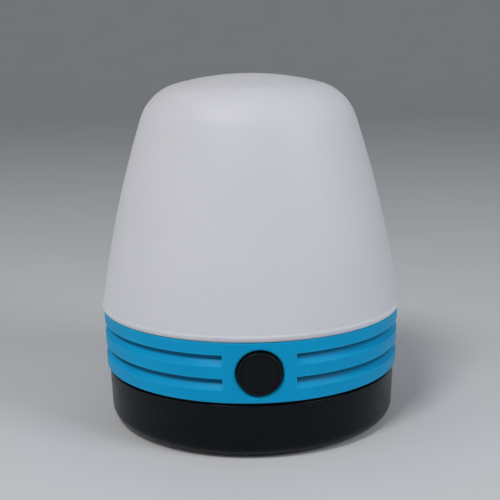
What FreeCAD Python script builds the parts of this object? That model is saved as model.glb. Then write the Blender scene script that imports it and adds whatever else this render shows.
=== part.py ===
import FreeCAD, Part
import math
import os
import re

import Sketcher

# Camping lantern, in millimetres. +Z is up, the origin is at the middle of the feet's plane, and the
# power button faces -Y. A black base holds three cells lying side by side, a coloured collar holds the
# button and its switch, and a frosted shade stands on the collar over the light source.

DIMENSIONS = {
    # overall form
    "total_height": 108.3, "shade_radius": 47.5, "collar_bottom": 17.7, "collar_top": 35.9,
    # shade
    "shade_wall": 1.8, "lip_height": 1.5, "lip_inset": 0.6, "side_foot_radius": 47.1,
    "side_arc_radius": 348, "corner_start_radius": 33.45, "corner_start_height": 95,
    "corner_arc_radius": 16, "crown_start_radius": 22.28, "crown_start_height": 105.45,
    "spigot_outer_radius": 43.9, "spigot_inner_radius": 42.2,
    "spigot_bottom": 30.9, "seal_radius": 43.4, "seal_height": 33.6, "seal_wire_radius": 0.68,
    "flange_height": 1.6, "side_lean": 18.28, "crown_lean": 75.44, "seal_groove_half": 0.7,
    "seal_groove_depth": 1.2, "key_notch_half_width": 10.5,
    # collar
    "collar_top_radius": 46.9, "collar_bottom_radius": 46.5, "collar_inner_radius": 44.1,
    "collar_edge_radius": 0.6, "groove_first": 4, "groove_second": 11, "groove_width": 3.3,
    "groove_depth": 1.6, "groove_square": 1.1, "groove_half_gap": 13.1, "ledge_bottom": 28.8,
    "ledge_top": 30.6, "ledge_inner_radius": 36, "boss_radius": 3.3, "deck_boss_radius": 3,
    "deck_boss_height": 6,
    "deck_screw_circle": 39.2,
    # base
    "base_bottom": 0.6, "floor_top": 3, "base_top_radius": 45.8, "base_bottom_radius": 45.3,
    "base_edge_radius": 4, "base_wall": 2.4, "base_reveal": 0.8, "base_spigot_top": 20.2,
    "base_spigot_radius": 43.9, "base_boss_top": 17.5, "base_boss_x": 36.4, "base_boss_y": 12,
    "screw_hole_radius": 1.6, "counterbore_radius": 2.9, "counterbore_top": 9,
    # feet
    "foot_radius": 3, "foot_seat_depth": 1, "rear_foot_x": 28.5, "rear_foot_y": 25.5,
    "front_foot_x": 14, "front_foot_y": 34.5,
    # battery bay
    "bay_y": -4, "cell_radius": 7.25, "cell_length": 50.5, "cell_pitch": 15.2, "cell_height": 10.9,
    "cell_offset": 2.65, "cell_rim_radius": 0.6, "nub_radius": 2.75,
    "nub_length": 1, "channel_radius": 7.45,
    "bay_half_length": 29.6, "bay_half_width": 23.2, "tray_wall": 1.4, "tray_top": 20.4,
    "contact_size": 12, "contact_thickness": 0.4, "contact_bump_radius": 2.2,
    "spring_radius": 3.8, "spring_wire_radius": 0.35,
    "contact_slot": 1.4, "contact_gap": 0.4, "arm_half_width": 1.6,
    "tray_post_top": 8, "ear_radius": 2.6, "ear_thickness": 2,
    "ear_side_x": 34.4, "ear_front_y": -31.8, "ear_rear_y": 23.6,
    # battery door
    "door_half_length": 30.05, "door_half_width": 23.75, "door_top": 2.8, "door_gap": 0.25,
    "door_corner": 1.5, "door_swing_room": 0.2, "door_hinge_y": -26.65, "door_hinge_z": 1.7,
    "door_barrel_radius": 1.1, "door_pin_radius": 0.8, "door_pin_length": 1.8, "scoop_radius": 5,
    "scoop_width": 14, "grip_pitch": 2, "grip_depth": 0.4, "pin_clearance": 0.06,
    # hanging hook
    "hook_half_width": 20, "hook_outer_radius": 39.6, "hook_inner_radius": 35.8,
    "hook_inner_half_width": 16.4, "hook_bar_y": 24.8, "hook_bar_z": 2.2, "hook_bar_radius": 1.6,
    "hook_inner_y": 26.8, "hook_gap": 0.4, "hook_pin_radius": 1, "hook_pin_half_length": 23.2,
    "hook_block_half_width": 24, "hook_block_front": 21.4, "hook_block_top": 5.8,
    # power button and switch
    "button_z": 26.6, "button_radius": 6.4, "button_bore": 6.75, "button_skirt_radius": 6.67,
    "button_flange_radius": 7.6, "button_face": 47.45, "button_dome": 0.55, "button_skirt_front": 45.2,
    "tube_radius": 7.95, "tube_back": 40.4, "tube_front": 45.2, "button_flange_front": 40.35,
    "button_flange_back": 39.1, "button_travel": 1.2, "plunger_radius": 1.6, "plunger_back": 29.6,
    "switch_front": 33.5, "switch_back": 26.5, "switch_size": 7, "switch_bore": 1.68,
    "board_thickness": 1.6, "board_half_width": 15, "board_bottom": 20.8, "board_top": 30.2,
    "board_post_x": 12, "board_post_depth": 4, "board_screw_z": 25.5,
    "return_spring_radius": 2.9, "return_spring_wire": 0.3,
    # light source
    "deck_radius": 41.9, "deck_thickness": 1.6, "deck_notch_half_width": 10.5,
    "deck_notch_depth": 36.5, "pedestal_radius": 17, "pedestal_top_radius": 15,
    "pedestal_top": 36.4, "led_board_radius": 14, "led_circle": 8, "led_size": 3.5,
    "led_height": 1.4, "led_screw_x": 11.5, "wire_hole_radius": 4, "wire_hole_y": 22,
    # cuts that run out of the solid, and pads that sink into their neighbour
    "through": 12, "merge": 0.4,
    # fasteners and wires
    "screw_radius": 1.45, "screw_head_radius": 2.7, "screw_head_height": 2, "housing_screw_length": 18,
    "tray_screw_length": 5.6, "small_screw_radius": 0.95,
    "small_head_radius": 1.9, "small_head_height": 1.3, "wire_radius": 0.65,
}
LED_COUNT = 6
GRIP_LINES = 3
COIL_TURNS = 4
END_CLEARANCE = 0.05
DECK_SCREW_ANGLES = (90, 210, 330)
TRAY_EARS = (("ear_side_x", "0"), ("-ear_side_x", "0"), ("0", "ear_front_y"), ("0", "ear_rear_y"))
DRIVER_CHIPS = ((5, 24, 3.5, 3.5, 1.2), (-8.6, 22.6, 3.2, 1.6, 0.7), (-8.6, 26.2, 3.2, 1.6, 0.7))
CELL_ROWS = {"front": -1, "middle": 0, "rear": 1}

doc = FreeCAD.newDocument("camping_lantern")
sheet = doc.addObject("Spreadsheet::Sheet", "Dims")
for row, (alias, number) in enumerate(DIMENSIONS.items(), start=1):
    sheet.set(f"A{row}", alias)
    sheet.set(f"B{row}", str(number))
    sheet.setAlias(f"B{row}", alias)
doc.recompute()

parts = {}


def size(text):
    """The present value of an expression in the sheet's words."""
    return float(sheet.evalExpression(str(text)))


def bound(text):
    """The same expression, with each word of the sheet given its full name."""
    return re.sub(r"[a-z_]{3,}", lambda m: "Dims." + m.group() if m.group() in DIMENSIONS else m.group(),
                  str(text))


def bind(item, **sizes):
    """Binds properties to the sheet; a double underscore stands for a dot in the property's name."""
    for name, text in sizes.items():
        item.setExpression(name.replace("__", "."), bound(text))


def node(name, item):
    """Names the item after its file."""
    item.Label = name
    parts[name] = item
    return item


# ---------------------------------------------------------------- PartDesign helpers

def new_body(name):
    return doc.addObject("PartDesign::Body", name.title().replace("_", ""))


def new_sketch(body, role, name, offset=None):
    """A sketch on an origin plane: XY faces +Z, XZ faces -Y with x and z as its axes, YZ faces +X."""
    sketch = body.newObject("Sketcher::SketchObject", name)
    plane = next(item for item in body.Origin.OriginFeatures if item.Role == role + "_Plane")
    sketch.AttachmentSupport = (plane, [""])
    sketch.MapMode = "FlatFace"
    if offset is not None:
        sketch.AttachmentOffset = FreeCAD.Placement(FreeCAD.Vector(0, 0, size(offset)), FreeCAD.Rotation())
        bind(sketch, AttachmentOffset__Base__z=offset)
    return sketch


def hold(sketch, kind, geometry, point, text):
    """Adds one dimension that follows the sheet."""
    where = (geometry, point) if point else (geometry,)
    index = sketch.addConstraint(Sketcher.Constraint(kind, *where, size(text)))
    if abs(size(text)) > 1e-9:
        sketch.setExpression(f"Constraints[{index}]", bound(text))


def draw_outline(sketch, corners):
    """A closed outline. A corner (u, v, radius) leaves along an arc that bulges to the right of the
    way round, so that it goes counter-clockwise; a negative radius bulges to the left."""
    points = [FreeCAD.Vector(size(corner[0]), size(corner[1]), 0) for corner in corners]
    starts, ends = [], []
    for index, corner in enumerate(corners):
        start, end = points[index], points[(index + 1) % len(points)]
        if len(corner) == 2:
            edge = sketch.addGeometry(Part.LineSegment(start, end), False)
            starts.append((edge, 1))
            ends.append((edge, 2))
            continue
        radius = size(corner[2])
        chord = end - start
        right = FreeCAD.Vector(chord.y, -chord.x, 0).normalize()
        sagitta = abs(radius) - math.sqrt(radius ** 2 - (chord.Length / 2) ** 2)
        middle = (start + end) * 0.5 + right * math.copysign(sagitta, radius)
        if radius > 0:
            edge = sketch.addGeometry(Part.Arc(start, middle, end), False)
            starts.append((edge, 1))
            ends.append((edge, 2))
        else:
            edge = sketch.addGeometry(Part.Arc(end, middle, start), False)
            starts.append((edge, 2))
            ends.append((edge, 1))
        hold(sketch, "Radius", edge, 0, corner[2] if radius > 0 else f"-({corner[2]})")
    for index, corner in enumerate(corners):
        sketch.addConstraint(Sketcher.Constraint("Coincident", *ends[index - 1], *starts[index]))
        hold(sketch, "DistanceX", *starts[index], corner[0])
        hold(sketch, "DistanceY", *starts[index], corner[1])


def draw_circle(sketch, u, v, radius):
    centre = FreeCAD.Vector(size(u), size(v), 0)
    circle = sketch.addGeometry(Part.Circle(centre, FreeCAD.Vector(0, 0, 1), size(radius)), False)
    hold(sketch, "DistanceX", circle, 3, u)
    hold(sketch, "DistanceY", circle, 3, v)
    hold(sketch, "Radius", circle, 0, radius)


def rectangle(low_u, low_v, high_u, high_v, corner=None):
    """Corners of a rectangle, rounded where a corner radius is given."""
    if corner is None:
        return [(low_u, low_v), (high_u, low_v), (high_u, high_v), (low_u, high_v)]
    return [
        (f"{low_u} + {corner}", low_v), (f"{high_u} - {corner}", low_v, corner),
        (high_u, f"{low_v} + {corner}"), (high_u, f"{high_v} - {corner}", corner),
        (f"{high_u} - {corner}", high_v), (f"{low_u} + {corner}", high_v, corner),
        (low_u, f"{high_v} - {corner}"), (low_u, f"{low_v} + {corner}", corner),
    ]


def feature(body, kind, sketch, name, **settings):
    """Adds a sketched feature and makes sure that it added or removed material."""
    earlier = body.Tip.Shape if body.Tip else Part.Shape()
    before = 0 if earlier.isNull() else earlier.Volume
    item = body.newObject("PartDesign::" + kind, name)
    item.Profile = sketch
    for key, setting in settings.items():
        if isinstance(setting, str):
            bind(item, **{key: setting})
        else:
            setattr(item, key, setting)
    if kind in ("Revolution", "Groove"):
        item.ReferenceAxis = (sketch, ["V_Axis"])
    doc.recompute()
    if item.Shape.isNull() or abs(item.Shape.Volume - before) < 1e-6:
        raise ValueError(f"{body.Label}: {name} failed or changed nothing, {item.getStatusString()}")
    return item


def revolve(body, corners, name="Profile", role="XZ", kind="Revolution", **settings):
    sketch = new_sketch(body, role, name + "Sketch")
    draw_outline(sketch, corners)
    return feature(body, kind, sketch, name, **{"Angle": 360.0, **settings})


def extrude(body, kind, role, name, length, outlines=(), circles=(), offset=None, up=False, **settings):
    """A pad or pocket of outlines and circles. For a pocket, up cuts along the sketch's normal."""
    sketch = new_sketch(body, role, name + "Sketch", offset)
    for corners in outlines:
        draw_outline(sketch, corners)
    for circle in circles:
        draw_circle(sketch, *circle)
    return feature(body, kind, sketch, name, Length=length, Reversed=up, **settings)


# ---------------------------------------------------------------- Part helpers

TURNS = {"z": FreeCAD.Rotation(), "x": FreeCAD.Rotation(FreeCAD.Vector(0, 1, 0), 90),
         "y": FreeCAD.Rotation(FreeCAD.Vector(1, 0, 0), -90)}


def place(item, position, along="z"):
    item.Placement = FreeCAD.Placement(FreeCAD.Vector(*[size(text) for text in position]), TURNS[along])
    bind(item, Placement__Base__x=position[0], Placement__Base__y=position[1],
         Placement__Base__z=position[2])
    return item


def cylinder(radius, length, position, along="z"):
    item = doc.addObject("Part::Cylinder", "Round")
    bind(item, Radius=radius, Height=length)
    return place(item, position, along)


def cone(radius_low, radius_high, length, position, along="z"):
    item = doc.addObject("Part::Cone", "Taper")
    bind(item, Radius1=radius_low, Radius2=radius_high, Height=length)
    return place(item, position, along)


def box(low, high):
    item = doc.addObject("Part::Box", "Block")
    spans = [f"({top}) - ({bottom})" for bottom, top in zip(low, high)]
    bind(item, Length=spans[0], Width=spans[1], Height=spans[2])
    return place(item, low)


def join(items):
    item = doc.addObject("Part::MultiFuse", "Joined")
    item.Shapes = items
    return item


def cut(base, tools):
    item = doc.addObject("Part::Cut", "Cut")
    item.Base = base
    item.Tool = tools[0] if len(tools) == 1 else join(tools)
    return item


def group(items):
    item = doc.addObject("Part::Compound", "Group")
    item.Links = items
    return item


def screw(position, length, direction=1, radius="screw_radius", head_radius="screw_head_radius",
          head_height="screw_head_height"):
    """An upright screw with a crossed recess; its head's underside is at the position."""
    x, y, z = position
    if direction > 0:
        shank = cylinder(radius, length, position)
        head = cylinder(head_radius, head_height, (x, y, f"{z} - {head_height}"))
        slot_z = f"{z} - {head_height}"
    else:
        shank = cylinder(radius, length, (x, y, f"{z} - {length}"))
        head = cylinder(head_radius, head_height, position)
        slot_z = f"{z} + {head_height} * 0.5"
    reach, slit, depth = f"{head_radius} * 0.6", f"{head_radius} * 0.12", f"{head_height} * 0.5"
    slots = [box((f"{x} - {u}", f"{y} - {v}", slot_z), (f"{x} + {u}", f"{y} + {v}", f"{slot_z} + {depth}"))
             for u, v in ((reach, slit), (slit, reach))]
    return cut(join([shank, head]), slots)


def small_screw(position, length, direction=-1):
    return screw(position, length, direction, "small_screw_radius", "small_head_radius",
                 "small_head_height")


def both(text):
    """The same distance to the right and to the left."""
    return text, f"-({text})"


def dome(radius, rise):
    """Radius of the arc that reaches the axis square on, this far in and this far up."""
    return f"(({radius})^2 + ({rise})^2) / (2 * ({rise}))"


def around(radius, degrees):
    """Plan position at a radius and an angle, as two expressions."""
    angle = math.radians(degrees)
    return f"({radius}) * {math.cos(angle):.6f}", f"({radius}) * {math.sin(angle):.6f}"


# ---------------------------------------------------------------- shade

def inside(radius, height, lean):
    """The point one wall inside an outer point whose surface faces this many degrees above level."""
    return (f"{radius} - shade_wall * cos({lean} * 1deg)", f"{height} - shade_wall * sin({lean} * 1deg)")


def make_diffuser():
    """Frosted shade: a slightly convex cone under a low crown, one wall thick, with a spigot below."""
    body = new_body("diffuser")
    revolve(body, [
        (0, "collar_top"), ("shade_radius - lip_inset", "collar_top", dome("lip_height", "lip_inset")),
        ("shade_radius", "collar_top + lip_height"),
        ("side_foot_radius", "collar_top + lip_height + 0.5", "side_arc_radius"),
        ("corner_start_radius", "corner_start_height", "corner_arc_radius"),
        ("crown_start_radius", "crown_start_height",
         dome("crown_start_radius", "total_height - crown_start_height")), (0, "total_height")], "Outer")
    corner = inside("corner_start_radius", "corner_start_height", "side_lean")
    crown = inside("crown_start_radius", "crown_start_height", "crown_lean")
    revolve(body, [
        (0, "collar_top - 1"), ("side_foot_radius - shade_wall", "collar_top - 1"),
        ("side_foot_radius - shade_wall", "collar_top + 2", "side_arc_radius - shade_wall"),
        (*corner, "corner_arc_radius - shade_wall"),
        (*crown, dome(crown[0], f"total_height - shade_wall - ({crown[1]})")),
        (0, "total_height - shade_wall")], "Inner", kind="Groove")
    groove_floor = "spigot_outer_radius - seal_groove_depth"
    flange = "shade_radius - lip_inset - merge / 2"
    revolve(body, [
        ("spigot_inner_radius", "spigot_bottom"), ("spigot_outer_radius", "spigot_bottom"),
        ("spigot_outer_radius", "seal_height - seal_groove_half"),
        (groove_floor, "seal_height - seal_groove_half"), (groove_floor, "seal_height + seal_groove_half"),
        ("spigot_outer_radius", "seal_height + seal_groove_half"), ("spigot_outer_radius", "collar_top"),
        (flange, "collar_top"), (flange, "collar_top + flange_height"),
        ("spigot_inner_radius", "collar_top + flange_height")], "Spigot")
    extrude(body, "Pocket", "XZ", "KeyNotch", "through", up=True, offset="spigot_inner_radius - 4",
            outlines=[rectangle("-key_notch_half_width", "spigot_bottom - 1",
                                "key_notch_half_width", "collar_top - 0.3")])
    node("diffuser", body)


def make_shade_seal():
    ring = doc.addObject("Part::Torus", "SealRing")
    bind(ring, Radius1="seal_radius", Radius2="seal_wire_radius")
    place(ring, ("0", "0", "seal_height"))
    gap = box(("-key_notch_half_width - 0.5", "-shade_radius", "seal_height - 2"),
              ("key_notch_half_width + 0.5", "-spigot_inner_radius + 4", "seal_height + 2"))
    node("shade_seal", cut(ring, [gap]))


# ---------------------------------------------------------------- light source

def make_light_source():
    """White deck with a raised middle, the LED board on it, its LEDs and both sets of screws."""
    deck = new_body("reflector_deck")
    revolve(deck, [
        (0, "ledge_top"), ("deck_radius", "ledge_top"), ("deck_radius", "ledge_top + deck_thickness"),
        ("pedestal_radius", "ledge_top + deck_thickness"), ("pedestal_top_radius", "pedestal_top"),
        (0, "pedestal_top")], "Disc")
    holes = [(*around("deck_screw_circle", angle), "small_screw_radius + 0.2")
             for angle in DECK_SCREW_ANGLES]
    holes.append((0, "-wire_hole_y", "wire_hole_radius"))
    holes += [(x, 0, "small_screw_radius") for x in both("led_screw_x")]
    extrude(deck, "Pocket", "XY", "Holes", "through", up=True, offset="ledge_top - 1", circles=holes,
            outlines=[rectangle("-deck_notch_half_width", "-deck_radius - 2",
                                "deck_notch_half_width", "-deck_notch_depth")])
    node("reflector_deck", deck)

    board = new_body("led_board")
    holes = [(x, 0, "small_screw_radius + 0.15") for x in both("led_screw_x")]
    extrude(board, "Pad", "XY", "Disc", "board_thickness", offset="pedestal_top",
            circles=[(0, 0, "led_board_radius"), *holes])
    node("led_board", board)

    top = "pedestal_top + board_thickness"
    chips = []
    for index in range(LED_COUNT):
        x, y = around("led_circle", 360 / LED_COUNT * (index + 0.5))
        case = box((f"{x} - led_size / 2", f"{y} - led_size / 2", top),
                   (f"{x} + led_size / 2", f"{y} + led_size / 2", f"{top} + led_height"))
        chips.append(cut(case, [cone("led_size * 0.3", "led_size * 0.4", "led_height * 0.3",
                                     (x, y, f"{top} + led_height * 0.7"))]))
    node("leds", group(chips))
    node("led_board_screws", group([small_screw((x, "0", top), "5") for x in both("led_screw_x")]))
    node("deck_screws", group([small_screw((*around("deck_screw_circle", angle),
                                            "ledge_top + deck_thickness"), "7")
                               for angle in DECK_SCREW_ANGLES]))


# ---------------------------------------------------------------- collar

def housing_screw_places():
    return [(x, y) for y in both("base_boss_y") for x in both("base_boss_x")]


def groove_outline(start):
    """Wedge section of one groove: square under its upper lip, running out to the surface below."""
    slope = "(collar_top_radius - collar_bottom_radius) / (collar_top - collar_bottom)"
    top, low = f"collar_top - {start}", f"collar_top - {start} - groove_width"
    surface = f"collar_top_radius - {slope} * ({start} + groove_width)"
    floor = "collar_top_radius - groove_depth"
    return [(floor, top), (floor, f"{top} - groove_square"), (f"{surface} - 0.02", low),
            ("collar_top_radius + 2", low), ("collar_top_radius + 2", top)]


def make_collar():
    """Coloured ring with two grooves that stop each side of the button, and a ledge for the deck."""
    body = new_body("collar")
    edge = "collar_edge_radius"
    revolve(body, [
        ("collar_inner_radius", "collar_bottom"), (f"collar_bottom_radius - {edge}", "collar_bottom", edge),
        ("collar_bottom_radius", f"collar_bottom + {edge}"),
        ("collar_top_radius", f"collar_top - {edge}", edge),
        (f"collar_top_radius - {edge}", "collar_top"), ("collar_inner_radius", "collar_top")], "Ring")
    ledge = "collar_inner_radius + merge"
    revolve(body, [("ledge_inner_radius", "ledge_bottom"), (ledge, "ledge_bottom"), (ledge, "ledge_top"),
                   ("ledge_inner_radius", "ledge_top")], "Ledge")
    extrude(body, "Pocket", "XY", "LedgeNotch", "ledge_top - ledge_bottom + 2", up=True,
            offset="ledge_bottom - 1",
            outlines=[rectangle("-deck_notch_half_width - 1", "-collar_inner_radius + 1.2",
                                "deck_notch_half_width + 1", "-ledge_inner_radius + 4")])
    extrude(body, "Pad", "XY", "Bosses", "ledge_bottom - collar_bottom - 0.3", offset="collar_bottom + 0.3",
            circles=[(*plan, "boss_radius") for plan in housing_screw_places()])
    extrude(body, "Pad", "XY", "DeckBosses", "deck_boss_height", offset="ledge_bottom - deck_boss_height",
            circles=[(*around("deck_screw_circle", angle), "deck_boss_radius")
                     for angle in DECK_SCREW_ANGLES])
    extrude(body, "Pad", "XZ", "ButtonTube", "tube_front - tube_back", offset="tube_back",
            circles=[(0, "button_z", "tube_radius")])
    extrude(body, "Pocket", "XZ", "ButtonBore", "through", up=True, offset="tube_back - 1",
            circles=[(0, "button_z", "button_bore")])
    extrude(body, "Pocket", "XY", "ScrewPilots", "through", up=True, offset="collar_bottom",
            circles=[(*plan, "screw_radius") for plan in housing_screw_places()])
    extrude(body, "Pocket", "XY", "DeckPilots", "ledge_top - ledge_bottom + deck_boss_height - 0.6",
            offset="ledge_top",
            circles=[(*around("deck_screw_circle", angle), "small_screw_radius")
                     for angle in DECK_SCREW_ANGLES])
    for name, start in (("UpperGroove", "groove_first"), ("LowerGroove", "groove_second")):
        revolve(body, groove_outline(start), name, role="YZ", kind="Groove", Midplane=True,
                Angle="360 - 2 * groove_half_gap")
    node("collar", body)


# ---------------------------------------------------------------- base

def hook_outline(half_width, front, outer_radius):
    """Plan of the hook's space: straight front and sides, and a back concentric with the base."""
    back = f"sqrt(({outer_radius})^2 - ({half_width})^2)"
    return [(f"-({half_width})", front), (half_width, front), (half_width, back, outer_radius),
            (f"-({half_width})", back)]


def make_base_housing():
    body = new_body("base_housing")
    revolve(body, [
        (0, "base_bottom"), ("base_bottom_radius - base_edge_radius", "base_bottom", "base_edge_radius"),
        ("base_bottom_radius", "base_bottom + base_edge_radius"),
        ("base_top_radius", "collar_bottom - base_reveal"),
        ("base_top_radius - base_reveal", "collar_bottom - base_reveal"),
        ("base_top_radius - base_reveal", "collar_bottom"), ("base_spigot_radius", "collar_bottom"),
        ("base_spigot_radius", "base_spigot_top"), ("base_spigot_radius - 1.5", "base_spigot_top"),
        ("base_bottom_radius - base_wall", "collar_bottom - 2"),
        ("base_bottom_radius - base_wall", "floor_top"), (0, "floor_top")], "Cup")
    extrude(body, "Pocket", "XY", "ButtonNotch", "base_spigot_top", up=True, offset="collar_bottom",
            outlines=[rectangle("-deck_notch_half_width", "-base_top_radius - 1",
                                "deck_notch_half_width", "-ledge_inner_radius")])
    extrude(body, "Pad", "XY", "Bosses", "base_boss_top - base_bottom", offset="base_bottom",
            circles=[(*plan, "boss_radius") for plan in housing_screw_places()])
    extrude(body, "Pad", "XY", "HookBlock", "hook_block_top - base_bottom", offset="base_bottom",
            outlines=[hook_outline("hook_block_half_width", "hook_block_front",
                                   "base_bottom_radius - base_edge_radius")])
    extrude(body, "Pad", "XY", "TrayPosts", "tray_post_top - floor_top", offset="floor_top",
            circles=[(*plan, "ear_radius") for plan in TRAY_EARS])
    extrude(body, "Pocket", "XY", "TrayPilots", "tray_post_top - floor_top - 0.5", offset="tray_post_top",
            circles=[(*plan, "small_screw_radius") for plan in TRAY_EARS])
    edge_x, edge_y = "(door_half_length + door_gap)", "(door_half_width + door_gap)"
    front, rear = f"bay_y - {edge_y} - door_swing_room", f"bay_y + {edge_y}"
    extrude(body, "Pocket", "XY", "DoorOpening", "floor_top + 0.2", up=True, offset="0", outlines=[[
        (f"-{edge_x}", front), (edge_x, front),
        (edge_x, f"{rear} - door_corner", "door_corner"), (f"{edge_x} - door_corner", rear),
        (f"-{edge_x} + door_corner", rear, "door_corner"), (f"-{edge_x}", f"{rear} - door_corner")]])
    extrude(body, "Pocket", "YZ", "DoorPinSockets", "2 * (door_half_length + door_pin_length + 0.3)",
            circles=[("door_hinge_y", "door_hinge_z", "door_pin_radius + pin_clearance")], Midplane=True)
    extrude(body, "Pocket", "XY", "HookRecess", "hook_bar_z + hook_bar_radius + hook_gap", up=True,
            offset="0", outlines=[hook_outline("hook_half_width + hook_gap",
                                               "hook_bar_y - hook_bar_radius - hook_gap",
                                               "hook_outer_radius + hook_gap")])
    extrude(body, "Pocket", "YZ", "HookPinHole", "2 * hook_pin_half_length",
            circles=[("hook_bar_y", "hook_bar_z", "hook_pin_radius + 0.01")], Midplane=True)
    extrude(body, "Pocket", "XY", "ScrewHoles", "base_boss_top + 1", up=True, offset="0",
            circles=[(*plan, "screw_hole_radius") for plan in housing_screw_places()])
    extrude(body, "Pocket", "XY", "Counterbores", "counterbore_top", up=True, offset="0",
            circles=[(*plan, "counterbore_radius") for plan in housing_screw_places()])
    extrude(body, "Pocket", "XY", "FootSeats", "base_bottom + foot_seat_depth", up=True, offset="0",
            circles=[(*plan, "foot_radius + 0.05") for plan in foot_places()])
    node("base_housing", body)


def foot_places():
    rear = [(x, "rear_foot_y") for x in both("rear_foot_x")]
    return rear + [(x, "-front_foot_y") for x in both("front_foot_x")]


def make_feet_and_screws():
    node("foot_pads", group([cylinder("foot_radius", "base_bottom + foot_seat_depth", (x, y, "0"))
                             for x, y in foot_places()]))
    node("housing_screws", group([screw((x, y, "counterbore_top"), "housing_screw_length")
                                  for x, y in housing_screw_places()]))


# ---------------------------------------------------------------- battery bay

def row_y(name):
    return f"(bay_y + {CELL_ROWS[name]} * cell_pitch)"


def make_battery_tray():
    """Cradle open below, with one channel for each cell and posts for the switch board on top."""
    outer_x, outer_y = "(bay_half_length + tray_wall)", "(bay_half_width + tray_wall)"
    solids = [box((f"-{outer_x}", f"bay_y - {outer_y}", "floor_top"),
                  (outer_x, f"bay_y + {outer_y}", "tray_top")),
              box(("-ear_side_x", "-arm_half_width", "tray_post_top"),
                  ("ear_side_x", "arm_half_width", "tray_post_top + ear_thickness")),
              box(("-arm_half_width", "ear_front_y", "tray_post_top"),
                  ("arm_half_width", "ear_rear_y", "tray_post_top + ear_thickness"))]
    hollows = [box(("-bay_half_length", "bay_y - bay_half_width", "floor_top - 1"),
                   ("bay_half_length", "bay_y + bay_half_width", "cell_height"))]
    for x, y in TRAY_EARS:
        solids.append(cylinder("ear_radius", "ear_thickness", (x, y, "tray_post_top")))
        hollows.append(cylinder("small_screw_radius + 0.15", "ear_thickness + 2",
                                (x, y, "tray_post_top - 1")))

    board_back = "(-switch_back + board_thickness)"
    for x in both("board_post_x"):
        solids.append(box((f"{x} - 2", board_back, "tray_top - merge"),
                          (f"{x} + 2", f"{board_back} + board_post_depth", "board_top")))
        hollows.append(cylinder("small_screw_radius", "board_post_depth * 0.8",
                                (x, f"{board_back} - 0.2", "board_screw_z"), "y"))

    plate_y = "cell_pitch + contact_size / 2 + contact_gap"
    plate_z = "cell_height + contact_size / 2 + contact_gap"
    for low_x, high_x in (("-bay_half_length", "-bay_half_length + contact_slot"),
                          ("bay_half_length - contact_slot", "bay_half_length")):
        hollows.append(box((low_x, f"bay_y - ({plate_y})", "cell_height - 1"),
                           (high_x, f"bay_y + {plate_y}", plate_z)))
    for name in CELL_ROWS:
        hollows.append(cylinder("channel_radius", "2 * bay_half_length",
                                ("-bay_half_length", row_y(name), "cell_height"), "x"))
    for end, name in (("bay_half_length", "front"), ("-bay_half_length", "rear")):
        hollows.append(box((f"{end} - 0.9", f"{row_y(name)} - 1.8", "cell_height"),
                           (f"{end} + 0.9", f"{row_y(name)} + 1.8", "tray_top + 1")))
    node("battery_tray", cut(join(solids), hollows))
    node("tray_screws", group([small_screw((x, y, "tray_post_top + ear_thickness"), "tray_screw_length")
                               for x, y in TRAY_EARS]))


def make_cells():
    """Three AA cells in series, so the middle one lies the other way round."""
    for name in CELL_ROWS:
        way = -1 if name == "middle" else 1
        flat_end = f"{way} * (cell_offset - cell_length / 2)"
        can_x = flat_end if way > 0 else f"{flat_end} - cell_length + nub_length"
        can = cylinder("cell_radius", "cell_length - nub_length", (can_x, row_y(name), "cell_height"), "x")
        rounded = doc.addObject("Part::Fillet", "CanEdges")
        rounded.Base = can
        doc.recompute()
        rim = size("cell_rim_radius")
        rounded.Edges = [(number, rim, rim) for number, item in enumerate(can.Shape.Edges, start=1)
                         if isinstance(item.Curve, Part.Circle)]
        nub_x = f"{flat_end} + cell_length - nub_length - merge" if way > 0 else f"{flat_end} - cell_length"
        nub = cylinder("nub_radius", "nub_length + merge", (nub_x, row_y(name), "cell_height"), "x")
        node(f"battery_cell_{name}", join([rounded, nub]))


def make_contacts():
    """Flat contacts at the bay's two ends. A link joins two rows; a terminal has a solder tab."""
    half, inner = "contact_size / 2", "(bay_half_length - contact_thickness)"
    spans = {1: (inner, "bay_half_length"), -1: ("-bay_half_length", f"-{inner}")}

    def plate(side, first, last):
        low_x, high_x = spans[side]
        return box((low_x, f"{row_y(first)} - {half}", f"cell_height - {half}"),
                   (high_x, f"{row_y(last)} + {half}", f"cell_height + {half}"))

    def raised(side, name):
        reach = f"{inner} - cell_offset - cell_length / 2"
        x = "cell_offset + cell_length / 2" if side > 0 else f"-{inner} - 0.1"
        return cylinder("contact_bump_radius", f"{reach} + 0.1", (x, row_y(name), "cell_height"), "x")

    def tab(side, name):
        low_x, high_x = spans[side]
        return box((low_x, f"{row_y(name)} - 1.5", "cell_height"),
                   (high_x, f"{row_y(name)} + 1.5", "tray_top + 2"))

    node("contact_link_left", join([plate(-1, "front", "middle"), raised(-1, "middle")]))
    node("contact_link_right", join([plate(1, "middle", "rear"), raised(1, "rear")]))
    node("contact_terminal_positive",
         join([plate(1, "front", "front"), raised(1, "front"), tab(1, "front")]))
    node("contact_terminal_negative", join([plate(-1, "rear", "rear"), tab(-1, "rear")]))


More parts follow.
